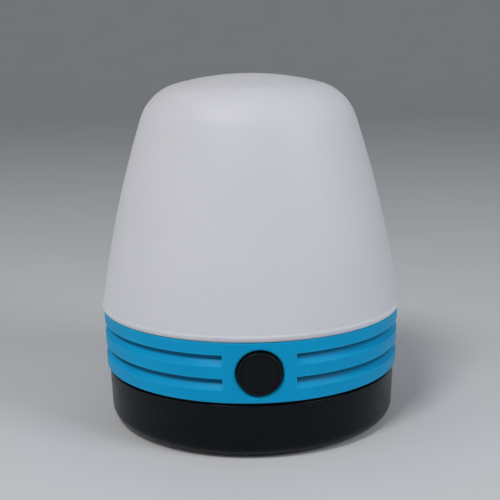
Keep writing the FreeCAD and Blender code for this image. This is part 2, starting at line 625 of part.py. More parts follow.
def coil(radius, wire_radius, length, position, along):
    """A round-wire coil of half rings, each leant over just enough to meet the next one on."""
    inset = wire_radius + END_CLEARANCE
    step = (length - 2 * inset) / (2 * COIL_TURNS)
    halves = []
    for index in range(2 * COIL_TURNS):
        side = 1 if index % 2 == 0 else -1
        start = FreeCAD.Vector(side * radius, 0, inset + index * step)
        centre = FreeCAD.Vector(0, 0, inset + (index + 0.5) * step)
        disc = Part.Face(Part.Wire(Part.makeCircle(wire_radius, start, FreeCAD.Vector(0, 1, 0))))
        halves.append(disc.revolve(centre, FreeCAD.Vector(side * step, 0, 2 * radius), 180))
    item = doc.addObject("Part::Feature", "Coil")
    item.Shape = halves[0].multiFuse(halves[1:])
    item.Placement = FreeCAD.Placement(FreeCAD.Vector(*[size(text) for text in position]),
                                       FreeCAD.Rotation(FreeCAD.Vector(0, 0, 1), FreeCAD.Vector(*along)))
    return item


def make_contact_springs():
    """A coil behind each cell's flat end, squeezed to the length that is left for it."""
    room = size("bay_half_length - contact_thickness + cell_offset - cell_length / 2")
    coils = []
    for name in CELL_ROWS:
        way = -1 if name == "middle" else 1
        start = (f"{-way} * (bay_half_length - contact_thickness)", row_y(name), "cell_height")
        coils.append(coil(size("spring_radius"), size("spring_wire_radius"), room, start, (way, 0, 0)))
    node("contact_springs", group(coils))


def make_battery_door():
    """Door in the underside: a barrel with two stub pins along its front edge and a finger scoop."""
    body = new_body("battery_door")
    low_y, high_y = "door_hinge_y", "bay_y + door_half_width"
    extrude(body, "Pad", "XY", "Plate", "door_top - base_bottom", offset="base_bottom", outlines=[[
        ("-door_half_length", low_y), ("door_half_length", low_y),
        ("door_half_length", f"{high_y} - door_corner + 0.2", "door_corner - 0.2"),
        ("door_half_length - door_corner + 0.2", high_y),
        ("-door_half_length + door_corner - 0.2", high_y, "door_corner - 0.2"),
        ("-door_half_length", f"{high_y} - door_corner + 0.2")]])
    extrude(body, "Pad", "YZ", "Barrel", "2 * (door_half_length - door_corner)", Midplane=True,
            circles=[("door_hinge_y", "door_hinge_z", "door_barrel_radius")])
    extrude(body, "Pad", "YZ", "HingePins", "2 * (door_half_length + door_pin_length)", Midplane=True,
            circles=[("door_hinge_y", "door_hinge_z", "door_pin_radius")])
    extrude(body, "Pocket", "YZ", "Scoop", "scoop_width", Midplane=True,
            circles=[(f"{high_y} - 4", "-3.2", "scoop_radius")])
    lines = [f"{high_y} - scoop_radius * 2.2 - {index} * grip_pitch" for index in range(GRIP_LINES)]
    extrude(body, "Pocket", "XY", "GripLines", "grip_depth", up=True, offset="base_bottom", outlines=[
        rectangle("-scoop_width / 2 - 2", f"{line} - grip_pitch * 0.4", "scoop_width / 2 + 2", line)
        for line in lines])
    node("battery_door", body)


# ---------------------------------------------------------------- hanging hook

def make_hanging_hook():
    """Flat loop that folds flush into the underside and swings down on a steel pin."""
    body = new_body("hanging_hook")
    low, thick = "hook_bar_z - hook_bar_radius", "2 * hook_bar_radius"
    extrude(body, "Pad", "XY", "Loop", thick, offset=low,
            outlines=[hook_outline("hook_half_width", "hook_bar_y", "hook_outer_radius")])
    extrude(body, "Pad", "YZ", "Barrel", "2 * hook_half_width", Midplane=True,
            circles=[("hook_bar_y", "hook_bar_z", "hook_bar_radius")])
    extrude(body, "Pocket", "XY", "Eye", "through", up=True, offset="0",
            outlines=[hook_outline("hook_inner_half_width", "hook_inner_y", "hook_inner_radius")])
    extrude(body, "Pocket", "YZ", "PinHole", "2 * hook_half_width + 2", Midplane=True,
            circles=[("hook_bar_y", "hook_bar_z", "hook_pin_radius + pin_clearance")])
    node("hanging_hook", body)
    node("hook_pin", cylinder("hook_pin_radius", "2 * hook_pin_half_length",
                              ("-hook_pin_half_length", "hook_bar_y", "hook_bar_z"), "x"))


# ---------------------------------------------------------------- power button and switch

def make_button():
    """Round cap, domed in front, with a skirt that runs in the collar's tube and a flange behind it.
    Revolved about Z in its own frame, with the pressed face up, and then laid down to face -Y."""
    body = new_body("button_cap")
    revolve(body, [
        (0, "button_flange_back"), ("button_flange_radius", "button_flange_back"),
        ("button_flange_radius", "button_flange_front"), ("button_skirt_radius", "button_flange_front"),
        ("button_skirt_radius", "button_skirt_front"), ("button_radius", "button_skirt_front"),
        ("button_radius", "button_face - button_dome - 0.5", 0.5),
        ("button_radius - 0.5", "button_face - button_dome", dome("button_radius - 0.5", "button_dome")),
        (0, "button_face")], "Cap")
    body.Placement = FreeCAD.Placement(FreeCAD.Vector(0, 0, size("button_z")),
                                       FreeCAD.Rotation(FreeCAD.Vector(1, 0, 0), 90))
    bind(body, Placement__Base__z="button_z")
    node("button_cap", body)
    node("switch_plunger", cylinder("plunger_radius", "button_flange_back - plunger_back",
                                    ("0", "-button_flange_back", "button_z"), "y"))
    room = size("button_flange_back - switch_front")
    position = ("0", "-button_flange_back", "button_z")
    node("return_spring", coil(size("return_spring_radius"), size("return_spring_wire"), room, position,
                               (0, 1, 0)))


def make_switch():
    """Push switch on an upright board, with the driver's chips beside it, screwed to the tray's posts."""
    half, face = "switch_size / 2", "-switch_back"
    case = box((f"-{half}", "-switch_front", f"button_z - {half}"), (half, face, f"button_z + {half}"))
    bore = cylinder("switch_bore", "switch_front - plunger_back + button_travel + 0.6",
                    ("0", "-switch_front - 0.1", "button_z"), "y")
    node("switch_body", cut(case, [bore]))

    board = box(("-board_half_width", face, "board_bottom"),
                ("board_half_width", f"{face} + board_thickness", "board_top"))
    holes = [cylinder("small_screw_radius + 0.15", "board_thickness + 2",
                      (x, f"{face} - 1", "board_screw_z"), "y") for x in both("board_post_x")]
    node("switch_board", cut(board, holes))
    chips = [box((f"{x}", f"{face} - {deep}", f"{z}"), (f"{x} + {wide}", face, f"{z} + {tall}"))
             for x, z, wide, tall, deep in DRIVER_CHIPS]
    node("driver_chips", group(chips))

    screws = []
    for x in both("board_post_x"):
        shank = cylinder("small_screw_radius", "board_thickness + 2.6", (x, face, "board_screw_z"), "y")
        head_y = f"{face} - small_head_height"
        head = cylinder("small_head_radius", "small_head_height", (x, head_y, "board_screw_z"), "y")
        slot = box((f"{x} - 1.2", f"{head_y} - 0.1", "board_screw_z - 0.2"),
                   (f"{x} + 1.2", f"{head_y} + 0.5", "board_screw_z + 0.2"))
        screws.append(cut(join([shank, head]), [slot]))
    node("switch_board_screws", group(screws))


# ---------------------------------------------------------------- wires

def tube_along(points, radius):
    """Straight runs joined by tangent arcs, each as large as its two runs allow."""
    points = [FreeCAD.Vector(*point) for point in points]
    edges, start, smallest = [], points[0], 1e9
    for before, corner, after in zip(points, points[1:], points[2:]):
        into, out = (corner - before), (after - corner)
        turn = into.getAngle(out)
        trim = 0.45 * min(into.Length, out.Length)
        bend = trim / math.tan(turn / 2)
        smallest = min(smallest, bend)
        into.normalize()
        out.normalize()
        first, last = corner - into * trim, corner + out * trim
        inward = (out - into).normalize()
        middle = corner + inward * (bend / math.cos(turn / 2) - bend)
        edges += [Part.LineSegment(start, first).toShape(), Part.Arc(first, middle, last).toShape()]
        start = last
    edges.append(Part.LineSegment(start, points[-1]).toShape())
    path = Part.Wire(edges)
    ring = Part.Wire([Part.makeCircle(radius, points[0], points[1] - points[0])])
    shape = path.makePipeShell([ring], True, False)
    print(f"wire: smallest bend {smallest:.2f}, volume over section times length "
          f"{shape.Volume / (math.pi * radius ** 2 * path.Length):.4f}")
    return shape


WIRES = {
    "wire_battery_positive": [(29.4, -19.2, 22.9), (29.4, -19.2, 28), (22, -15, 28.4), (12.5, -13.5, 27.6),
                              (9, -17.5, 26.2), (9, -24.8, 26)],
    "wire_battery_negative": [(-29.4, 11.2, 22.9), (-29.4, 11.2, 28), (-24, 2, 28.4), (-16, -8, 28),
                              (-9.4, -15, 26.4), (-9, -24.8, 26)],
    "wire_led_positive": [(3, -24.8, 27.5), (2.9, -22, 27.6), (2, -21.6, 31.4), (2, -21.6, 37),
                          (2.4, -18.6, 41), (2.8, -14, 41), (3, -12.6, 38.4)],
    "wire_led_negative": [(-3, -24.8, 27.5), (-2.9, -22, 27.6), (-2, -21.6, 31.4), (-2, -21.6, 37),
                          (-2.4, -18.6, 41), (-2.8, -14, 41), (-3, -12.6, 38.4)],
}


def make_wires():
    for name, points in WIRES.items():
        item = doc.addObject("Part::Feature", "Wire")
        item.Shape = tube_along(points, size("wire_radius"))
        node(name, item)


make_diffuser()
make_shade_seal()
make_light_source()
make_collar()
make_base_housing()
make_feet_and_screws()
make_battery_tray()
make_cells()
make_contacts()
make_contact_springs()
make_battery_door()
make_hanging_hook()
make_button()
make_switch()
make_wires()
doc.recompute()

for item in doc.Objects:
    if "Invalid" in item.State or "Error" in item.State:
        raise ValueError(f"{item.Label} failed: {item.State}")
for name, item in parts.items():
    if item.Shape.isNull() or not item.Shape.isValid() or item.Shape.Volume <= 0:
        raise ValueError(f"{name} has no valid solid")

os.makedirs("parts", exist_ok=True)
for name, item in parts.items():
    item.Shape.exportStep(os.path.join("parts", name + ".step"))
    print(f"{name}: {len(item.Shape.Solids)} solids, {item.Shape.Volume:.1f} mm3")
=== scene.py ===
"""Looks of a small camping lantern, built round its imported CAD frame.

Lengths in the classes are millimetres in the part's own frame (+Z up, the button faces -Y), and become
metres when a mesh is made.
"""

import logging
import math
from dataclasses import dataclass, field
from enum import Enum
from typing import Optional, Sequence

import bmesh
import bpy
import numpy as np
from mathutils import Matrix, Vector


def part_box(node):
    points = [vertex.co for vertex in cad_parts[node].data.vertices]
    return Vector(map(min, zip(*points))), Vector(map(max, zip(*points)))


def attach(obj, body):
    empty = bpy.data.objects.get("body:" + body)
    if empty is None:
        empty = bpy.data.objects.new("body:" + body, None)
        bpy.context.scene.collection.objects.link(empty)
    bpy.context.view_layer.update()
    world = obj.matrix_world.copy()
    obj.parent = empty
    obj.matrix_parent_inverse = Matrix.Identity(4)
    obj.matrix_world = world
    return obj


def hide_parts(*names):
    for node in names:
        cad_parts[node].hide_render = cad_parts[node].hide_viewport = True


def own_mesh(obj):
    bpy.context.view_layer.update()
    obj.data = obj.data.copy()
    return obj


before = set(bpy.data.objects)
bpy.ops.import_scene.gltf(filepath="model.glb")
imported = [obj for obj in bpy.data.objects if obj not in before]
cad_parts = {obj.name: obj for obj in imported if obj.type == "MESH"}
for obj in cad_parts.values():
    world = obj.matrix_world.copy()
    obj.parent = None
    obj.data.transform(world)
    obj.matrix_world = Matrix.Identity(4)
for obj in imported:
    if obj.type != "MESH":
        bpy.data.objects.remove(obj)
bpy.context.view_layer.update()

MM = 0.001
WELD_MM = 0.001
LOG = logging.getLogger("lantern")
CELLS = ("battery_cell_front", "battery_cell_middle", "battery_cell_rear")
NOISE_SPAN = (0.3, 0.7)
Array = np.ndarray
Pair = tuple[float, float]
Triple = tuple[float, float, float]
Colour = Triple
Socket = bpy.types.NodeSocket
Material = bpy.types.Material


class Body(str, Enum):
    """The moving bodies of the frame."""

    HOUSING = "housing"
    BUTTON = "power_button"
    DOOR = "battery_door"
    HOOK = "hanging_hook"


class Along(Enum):
    """Where a turned part's own axis points, as the matrix that lays it there."""

    UP = ((1, 0, 0), (0, 1, 0), (0, 0, 1))
    FRONT = ((1, 0, 0), (0, 0, -1), (0, 1, 0))
    BACK = ((1, 0, 0), (0, 0, 1), (0, -1, 0))
    RIGHT = ((0, 0, 1), (0, 1, 0), (-1, 0, 0))
    LEFT = ((0, 0, -1), (0, 1, 0), (1, 0, 0))


def node_box(name: str) -> tuple[Array, Array]:
    """Lowest and highest corner of a CAD node.

    Args:
        name: the node.

    Returns:
        Both corners in millimetres.
    """
    low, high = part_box(name)
    return np.array(low) / MM, np.array(high) / MM


def measured(name: str, corner: int, axis: int, sign: int = 1) -> float:
    """Dataclass field that reads its default from a CAD node's box.

    Args:
        name: the node.
        corner: 0 for its lowest corner, 1 for its highest.
        axis: 0, 1 or 2 for X, Y or Z.
        sign: -1 turns the value round.

    Returns:
        The field.
    """
    return field(default_factory=lambda: sign * float(node_box(name)[corner][axis]))


def button_height() -> float:
    """Height of the button's axis."""
    low, high = node_box("button_cap")
    return float((low[2] + high[2]) / 2)


def srgb(red: int, green: int, blue: int) -> Colour:
    """Linear colour of a screen colour.

    Args:
        red, green, blue: 0 to 255.

    Returns:
        The three linear values, by the screen's own curve.
    """
    level = np.array([red, green, blue]) / 255
    linear = np.where(level <= 0.04045, level / 12.92, ((level + 0.055) / 1.055) ** 2.4)
    return tuple(float(value) for value in linear)


# ------------------------------------------------------------------ surfaces


@dataclass
class Surface:
    """Points in millimetres with the faces between them."""

    points: Array
    quads: Array = field(default_factory=lambda: np.zeros((0, 4), int))
    triangles: Array = field(default_factory=lambda: np.zeros((0, 3), int))

    def flipped(self) -> "Surface":
        """The same surface facing the other way."""
        return Surface(self.points, self.quads[:, ::-1], self.triangles[:, ::-1])

    def moved(self, offset: Sequence[float], along: Along = Along.UP) -> "Surface":
        """The surface turned so that its own +Z lies along an axis, and then shifted."""
        placed = self.points @ np.array(along.value, float).T
        return Surface(placed + np.array(offset, float), self.quads, self.triangles)

    def without(self, hidden: Array) -> "Surface":
        """The surface with the quads marked in a mask left out."""
        return Surface(self.points, self.quads[~hidden], self.triangles)


def joined(*surfaces: Surface) -> Surface:
    """One surface of several.

    Args:
        surfaces: what to join.

    Returns:
        All their points and faces, the faces' indices shifted past the points before them.
    """
    starts = np.cumsum([0] + [len(item.points) for item in surfaces[:-1]])
    return Surface(
        np.concatenate([item.points for item in surfaces]),
        np.concatenate([item.quads + start for item, start in zip(surfaces, starts)]),
        np.concatenate([item.triangles + start for item, start in zip(surfaces, starts)]),
    )


def grid(points: Array, close_rows: bool = False, close_columns: bool = False) -> Surface:
    """Quads over a grid of points; a face's normal is along-a-row crossed with row-to-row.

    Args:
        points: (rows, columns, 3).
        close_rows: joins the last row to the first.
        close_columns: joins the last column to the first.

    Returns:
        The surface.
    """
    rows, columns, _ = points.shape
    index = np.arange(rows * columns).reshape(rows, columns)
    if close_columns:
        index = np.concatenate([index, index[:, :1]], axis=1)
    if close_rows:
        index = np.concatenate([index, index[:1]], axis=0)
    corners = [index[:-1, :-1], index[:-1, 1:], index[1:, 1:], index[1:, :-1]]
    return Surface(points.reshape(-1, 3), np.stack(corners, axis=-1).reshape(-1, 4))


def swept(profile: Array, x_share: Array, y_share: Array) -> Array:
    """Rings of a profile: each (radius, height) becomes (r x_share, r y_share, height).

    Args:
        profile: (n, 2).
        x_share, y_share: a ring's points on a circle of radius 1.

    Returns:
        (n, ring, 3) points.
    """
    radius, height = profile[:, :1], profile[:, 1:]
    return np.stack([radius * x_share, radius * y_share, height + 0 * x_share], axis=-1)


def turned(profile: Array, segments: int = 160, closed: bool = False) -> Surface:
    """A profile turned about Z: each (radius, height) becomes a ring (r cos a, r sin a, height).

    Args:
        profile: (n, 2), going round its section with the material on the left.
        segments: points in each ring.
        closed: joins the profile's end to its start.

    Returns:
        The surface, facing away from the material.
    """
    angle = np.linspace(0, 2 * math.pi, segments, endpoint=False)
    return grid(swept(profile, np.cos(angle), np.sin(angle)), close_rows=closed, close_columns=True)


def rays(angle: Array) -> Array:
    """Unit vectors (cos a, sin a) at some angles."""
    return np.stack([np.cos(angle), np.sin(angle)], axis=1)


def arc(start: Sequence[float], end: Sequence[float], radius: float, steps: int) -> Array:
    """Arc that bulges to the right of the way from start to end.

    Args:
        start, end: the two ends.
        radius: its radius.
        steps: how many pieces it is cut into.

    Returns:
        (steps, 2): start and the points after it, without the end. The centre lies to the left of the
        chord's middle, and the angle runs evenly between the two ends.
    """
    first, last = np.array(start, float), np.array(end, float)
    chord = last - first
    length = float(np.hypot(*chord))
    left = np.array([-chord[1], chord[0]]) / length
    centre = (first + last) / 2 + left * math.sqrt(radius**2 - length**2 / 4)
    begin = math.atan2(*(first - centre)[::-1])
    sweep = 2 * math.asin(length / 2 / radius)
    return centre + radius * rays(begin + np.linspace(0, sweep, steps, endpoint=False))


def filleted(corners: Sequence[tuple], closed: bool = False, steps: int = 5) -> Array:
    """Straight runs with rounded corners.

    Args:
        corners: (u, v) or (u, v, radius) each; a corner with a radius is replaced by a tangent arc.
        closed: whether the last corner leads back to the first.
        steps: pieces in each arc.

    Returns:
        (n, 2) points. Each arc runs evenly between its two tangent points, round its own centre.
    """
    plan = np.array([corner[:2] for corner in corners], float)
    out = []
    for index, corner in enumerate(corners):
        radius = corner[2] if len(corner) > 2 else 0
        here = plan[index]
        if not radius or (not closed and index in (0, len(corners) - 1)):
            out.append(here[None])
            continue
        back = plan[index - 1] - here
        ahead = plan[(index + 1) % len(corners)] - here
        back, ahead = back / np.hypot(*back), ahead / np.hypot(*ahead)
        half = math.acos(float(np.clip(back @ ahead, -1, 1))) / 2
        middle = (back + ahead) / np.hypot(*(back + ahead))
        centre = here + middle * radius / math.sin(half)
        reach = radius / math.tan(half)
        first, last = here + back * reach - centre, here + ahead * reach - centre
        begin = math.atan2(first[1], first[0])
        sweep = (math.atan2(last[1], last[0]) - begin + math.pi) % (2 * math.pi) - math.pi
        out.append(centre + radius * rays(begin + np.linspace(0, sweep, steps + 1)))
    return np.concatenate(out)


def box_outline(wide: float, low: float, high: float, turns: Pair) -> Array:
    """Rounded rectangle, the same to both sides of X = 0.

    Args:
        wide: half its width.
        low, high: its ends in Y.
        turns: radius of the corners at the low end and at the high end.

    Returns:
        The outline, counter-clockwise.
    """
    first, second = turns
    corners = [(-wide, low, first), (wide, low, first), (wide, high, second), (-wide, high, second)]
    return filleted(corners, closed=True, steps=6)


def rod(radius: float, length: float, turns: Pair, segments: int) -> Surface:
    """Solid rod along +Z, whose two end edges are rounded to a radius each."""
    first, second = turns
    return turned(filleted([(0, 0), (radius, 0, first), (radius, length, second), (0, length)]), segments)


def circle(x: float, y: float, radius: float, count: int) -> Array:
    """Outline of a circle, counter-clockwise."""
    angle = np.linspace(0, 2 * math.pi, count, endpoint=False)
    return np.array([x, y]) + radius * rays(angle)


def spread(outline: Array, distance: float) -> Array:
    """Moves a counter-clockwise outline outwards.

    Args:
        outline: (n, 2).
        distance: how far, inwards where it is negative.

    Returns:
        Each point moved along the mean of its two edges' outward normals, lengthened so that both
        edges move by the distance.
    """
    edge = np.roll(outline, -1, axis=0) - outline
    normal = np.stack([edge[:, 1], -edge[:, 0]], axis=1) / np.hypot(*edge.T)[:, None]
    mean = normal + np.roll(normal, 1, axis=0)
    mean /= np.hypot(*mean.T)[:, None]
    lengthened = distance / np.clip((mean * normal).sum(axis=1), 0.3, 1)
    return outline + mean * lengthened[:, None]


def filled(outer: Array, holes: Sequence[Array], height: float, up: bool) -> Surface:
    """Flat face inside an outline and outside its holes.

    Args:
        outer: the outline.
        holes: outlines cut out of it.
        height: where it lies.
        up: whether it faces +Z.

    Returns:
        Triangles between the outlines' own points.
    """
    flat = bpy.data.curves.new("fill", "CURVE")
    flat.dimensions = "2D"
    flat.fill_mode = "BOTH"
    for outline in (outer, *holes):
        spline = flat.splines.new("POLY")
        spline.points.add(len(outline) - 1)
        padding = np.tile([0.0, 1.0], (len(outline), 1))
        spline.points.foreach_set("co", np.hstack([outline, padding]).ravel())
        spline.use_cyclic_u = True
    holder = bpy.data.objects.new("fill", flat)
    mesh = bpy.data.meshes.new_from_object(holder)
    points = np.zeros(len(mesh.vertices) * 3)
    mesh.vertices.foreach_get("co", points)
    points = points.reshape(-1, 3)
    mesh.calc_loop_triangles()
    faces = np.zeros(len(mesh.loop_triangles) * 3, int)
    mesh.loop_triangles.foreach_get("vertices", faces)
    faces = faces.reshape(-1, 3)
    first, second, third = (points[faces[:, corner], :2] for corner in range(3))
    area = np.cross(second - first, third - first)
    wrong = (area > 0) != up
    faces[wrong] = faces[wrong][:, ::-1]
    points[:, 2] = height
    bpy.data.objects.remove(holder)
    bpy.data.curves.remove(flat)
    bpy.data.meshes.remove(mesh)
    return Surface(points, triangles=faces[np.abs(area) > 1e-9])


def strip(outline: Array, rows: Sequence[Pair]) -> Surface:
    """Wall round an outline.

    Args:
        outline: (n, 2), counter-clockwise.
        rows: (how far the outline is spread, height) of each row.

    Returns:
        The wall, facing outwards where the rows go up.
    """
    rings = [np.column_stack([spread(outline, out), np.full(len(outline), height)]) for out, height in rows]
    return grid(np.stack(rings), close_columns=True)


def edge_rows(low: float, high: float, bevel: float, steps: int = 4) -> list[Pair]:
    """Rows of a wall with rounded edges: a quarter circle in from each end.

    Args:
        low, high: the two faces.
        bevel: the quarter circles' radius.
        steps: pieces in each.

    Returns:
        (inset as a negative spread, height) from the bottom up.
    """
    angle = np.linspace(0, math.pi / 2, steps + 1)
    inset = -bevel * (1 - np.sin(angle))
    lift = bevel * (1 - np.cos(angle))
    return [*zip(inset, low + lift), *zip(inset[::-1], (high - lift)[::-1])]


def slab(outer: Array, holes: Sequence[Array], low: float, high: float, bevel: float) -> Surface:
    """Flat plate with holes, every edge rounded.

    Args:
        outer: the outline, counter-clockwise.
        holes: its holes, counter-clockwise.
        low, high: the two faces.
        bevel: radius of the edges.

    Returns:
        The closed surface.
    """
    rows = edge_rows(low, high, bevel)
    walls = [strip(outer, rows)]
    walls += [strip(hole, [(-out, z) for out, z in rows]).flipped() for hole in holes]
    rims = [spread(hole, bevel) for hole in holes]
    caps = [filled(spread(outer, -bevel), rims, height, up) for height, up in ((low, False), (high, True))]
    return joined(*walls, *caps)


def coil(radius: float, wire: float, length: float) -> Surface:
    """Round wire wound four times round +Z.

    Args:
        radius: from the coil's axis to the wire's middle.
        wire: the wire's radius.
        length: over the whole coil.

    Returns:
        A tube along (r cos a, r sin a, rise a), closed to a point at each end.
    """
    turns, points_a_turn, around = 4, 36, 10
    angle = np.linspace(0, 2 * math.pi * turns, points_a_turn * turns + 1)
    outwards = np.stack([np.cos(angle), np.sin(angle), 0 * angle], axis=1)
    middle = outwards * radius
    middle[:, 2] = wire + (length - 2 * wire) * angle / angle[-1]
    section = np.linspace(0, 2 * math.pi, around, endpoint=False)[None, :, None]
    size = np.full(len(angle), wire)
    size[[0, -1]] = 0
    ring = np.cos(section) * outwards[:, None] + np.sin(section) * np.array([0.0, 0.0, 1.0])
    return grid(middle[:, None] + size[:, None, None] * ring, close_columns=True).flipped()


def make_object(name: str, surface: Surface, material: Material, sharp_deg: float,
                level: bool = True) -> bpy.types.Object:
    """Puts a surface into a mesh object at the origin.

    Args:
        name: the piece's name.
        surface: its points and faces.
        material: its finish.
        sharp_deg: edges that turn by more than this are drawn sharp.
        level: keeps broad flat faces evenly shaded up to their rounded edges.

    Returns:
        The linked object, with coincident points welded.
    """
    mesh = bpy.data.meshes.new(name)
    faces = surface.quads.tolist() + surface.triangles.tolist()
    mesh.from_pydata((surface.points * MM).tolist(), [], faces)
    work = bmesh.new()
    work.from_mesh(mesh)
    bmesh.ops.remove_doubles(work, verts=work.verts, dist=WELD_MM * MM)
    bmesh.ops.dissolve_degenerate(work, edges=work.edges, dist=WELD_MM / 2 * MM)
    work.to_mesh(mesh)
    work.free()
    mesh.shade_smooth()
    mesh.set_sharp_from_angle(angle=math.radians(sharp_deg))
    mesh.materials.append(material)
    item = bpy.data.objects.new(name, mesh)
    bpy.context.scene.collection.objects.link(item)
    if level:
        item.modifiers.new("level_faces", "WEIGHTED_NORMAL").keep_sharp = True
    return item


def install(item: bpy.types.Object, body: Body, node: str) -> None:
    """Makes a piece part of the frame.

    Args:
        item: the piece.
        body: the body it moves with.
        node: the CAD node that it stands for.
    """
    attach(item, body.value)
    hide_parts(node)
    LOG.info("%s: %d faces on %s", item.name, len(item.data.polygons), body.value)


# ------------------------------------------------------------------ finishes


class NodeBuilder:
    """Writes a material's nodes."""

    def __init__(self, name: str) -> None:
        """Starts a material with a Principled shader.

        Args:
            name: the material's name.
        """
        self.material = bpy.data.materials.new(name)
        self.material.use_nodes = True
        self.tree = self.material.node_tree

    def feed(self, socket: Socket, source: object) -> None:
        """Fills a socket.

        Args:
            socket: an input.
            source: an output to link to it, or its value; a colour may come without its alpha.
        """
        if isinstance(source, Socket):
            self.tree.links.new(source, socket)
        elif socket.type == "RGBA" and len(source) == 3:
            socket.default_value = (*source, 1)
        else:
            socket.default_value = source

    def add(self, kind: str, inputs: Optional[dict] = None, **settings: object) -> bpy.types.Node:
        """Adds a node.

        Args:
            kind: its type without the leading ShaderNode.
            inputs: socket name or number to a value or an output socket.
            settings: the node's own properties.

        Returns:
            The node.
        """
        node = self.tree.nodes.new("ShaderNode" + kind)
        for key, setting in settings.items():
            setattr(node, key, setting)
        for key, source in (inputs or {}).items():
            self.feed(node.inputs[key], source)
        return node

    def place(self, stretch: Sequence[float] = (1, 1, 1)) -> Socket:
        """Object coordinates in millimetres, stretched."""
        inputs = {"Vector": self.add("TexCoord").outputs["Object"], "Scale": tuple(v / MM for v in stretch)}
        return self.add("Mapping", inputs).outputs[0]

    def noise(self, size: float, detail: float, stretch: Sequence[float] = (1, 1, 1)) -> Socket:
        """Smooth noise whose lumps are about this many millimetres across."""
        inputs = {"Vector": self.place(stretch), "Scale": 1 / size, "Detail": detail}
        return self.add("TexNoise", inputs).outputs["Fac"]

    def remap(self, value: Socket, low: float, high: float, to_low: float, to_high: float) -> Socket:
        """A value's range low to high spread over another range, with its ends held."""
        inputs = {0: value, 1: low, 2: high, 3: to_low, 4: to_high}
        return self.add("MapRange", inputs, clamp=True).outputs[0]

    def spanned(self, value: Socket, to_low: float = 0, to_high: float = 1) -> Socket:
        """The range in which most of a noise lies, spread over another range."""
        return self.remap(value, *NOISE_SPAN, to_low, to_high)

    def mix(self, share: Socket, first: object, second: object) -> Socket:
        """Two colours mixed by a share; the node's sockets 0, 6 and 7 are those for colours."""
        return self.add("Mix", {0: share, 6: first, 7: second}, data_type="RGBA").outputs[2]

    def maths(self, operation: str, first: object, second: object, third: float = 0.5) -> Socket:
        """One sum of two values, or of three where the operation takes them."""
        return self.add("Math", {0: first, 1: second, 2: third}, operation=operation).outputs[0]

    def bump(self, height: Socket, depth: float, under: Optional[Socket] = None) -> Socket:
        """Relief this many millimetres deep.

        Args:
            height: what gives the relief its form.
            depth: how deep it is.
            under: an earlier relief that it lies on.

        Returns:
            The normal.
        """
        inputs = {"Height": height, "Strength": 1.0, "Distance": depth * MM}
        if under is not None:
            inputs["Normal"] = under
        return self.add("Bump", inputs).outputs[0]

    def finish(self, colour: object, rough: object, relief: Socket, **settings: object) -> Material:
        """Fills in the shader.

        Args:
            colour: base colour, a value or a socket.
            rough: roughness, a value or a socket.
            relief: the normal.
            settings: other sockets by name, with underscores for spaces.

        Returns:
            The material.
        """
        shader = self.tree.nodes["Principled BSDF"]
        wanted = {"Base Color": colour, "Roughness": rough, "Normal": relief, **settings}
        for key, source in wanted.items():
            self.feed(shader.inputs[key.replace("_", " ")], source)
        return self.material


def lighter(colour: Colour, factor: float, lift: float = 0.0) -> Colour:
    """A colour lifted by a little grey and made lighter, or darker where the factor is under 1."""
    return tuple(min(1.0, (value + lift) * factor) for value in colour)


